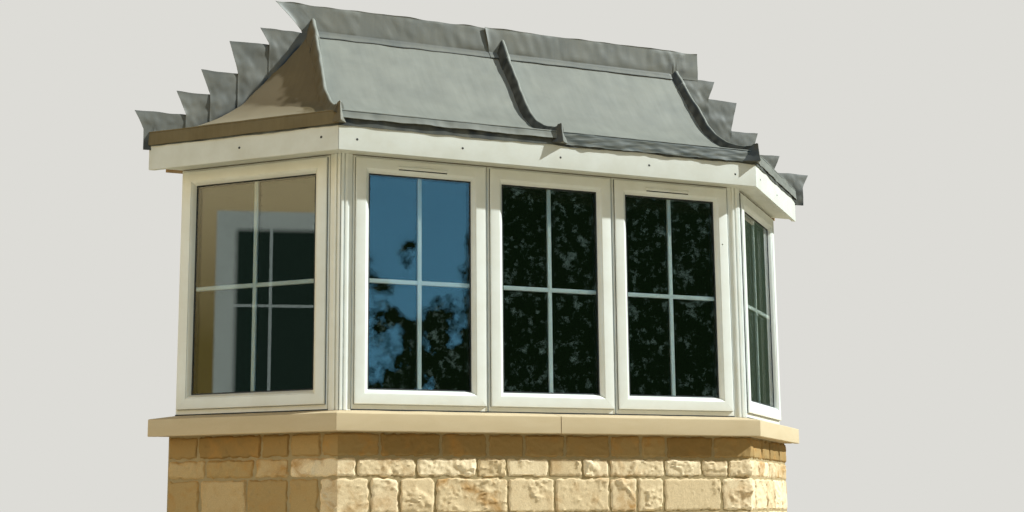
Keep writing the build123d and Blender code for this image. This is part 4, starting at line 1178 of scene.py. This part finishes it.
for side, (tops, run_ends) in STEPS.items():
    hand, starts, patches = (1 if side == "right" else -1), [HIP_WALL_X - WALL_X, *run_ends[:-1]], []
    for i, (top, end, before) in enumerate(zip(tops, run_ends, starts)):
        below = tops[i + 1] if i + 1 < len(tops) else LAST_TOP
        start = WALL_X + before - (STEP_LAP if i else 0)
        # painted shade along the slope: strongest on the three upper left steps
        painted_shade = 1.0 if side == "left" and i < 3 else 0.55
        patches.append(step_patch(hand, start, WALL_X + end, FASCIA + top, FASCIA + below, painted_shade, 40 + i))
    lead_piece(f"step_flashing_{side}_pieces", patches, flashing_lead, [f"step_flashing_{side}"])
print("steps a side:", len(tops))

# %% [markdown]
# ## What the CAD already shapes well
# The timbers, the plastered leaf and boards, the floor and the mortar behind the stones keep their CAD
# meshes. They need only a finish, worked out from real sizes: growth rings, trowel marks, aggregate.

# %% Materials for carried-over nodes
# sawn pine: growth rings of 4 mm seen as long grain, drawn at 9 mm to show, with resin-darker late wood
timber = clouded("sawn_softwood", "#8F7350", [
    ((9, 112.5, 30), {"Detail": 5.0, "Distortion": 0.5}, None, "#A88A62")], 0.8, (0.4, 0.8))
# gypsum plaster under matt paint: off-white, faint trowel sweeps
plaster = clouded("trowelled_plaster", "#DCD9CE", [
    (120, {"Detail": 5.0, "Distortion": 1.5}, None, "#E8E6DE")], 0.85, (0.25, 0.8))

concrete, tree = new_material("floated_concrete")
# power-floated concrete: grey clouds, and aggregate of 14 mm that just shows
where = add(tree, "ShaderNodeTexCoord", out="Object")
aggregate = add(tree, "ShaderNodeTexVoronoi", {"Vector": where, "Scale": per_metre(14)}, "Color")
cement = add(tree, "ShaderNodeTexNoise", {"Vector": where, "Scale": per_metre(150), "Detail": 6.0})
grey = add(tree, "ShaderNodeMix", {0: cement, 6: paint("#8C8981"), 7: paint("#A9A69E")}, 2, data_type="RGBA")
flecked = add(tree, "ShaderNodeMix", {0: 0.15, 6: grey, 7: aggregate}, 2, data_type="RGBA",
              blend_type="SOFT_LIGHT")
surface(tree, flecked, 0.8, cement, 0.3, 0.8)

finish_of = {"outer_wall": mortar, "inner_wall": plaster, "window_board": plaster, "ceiling_board": plaster,
             "floor_slab": concrete, "rafters": timber, "ledger": timber, "roof_deck": timber,
             "head_beam": timber}
kept = sorted(name for name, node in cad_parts.items() if not node.hide_render)
for name in kept:
    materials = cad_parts[name].data.materials
    materials.clear()
    materials.append(next(finish for start, finish in finish_of.items() if name.startswith(start)))
print("kept nodes:", kept)
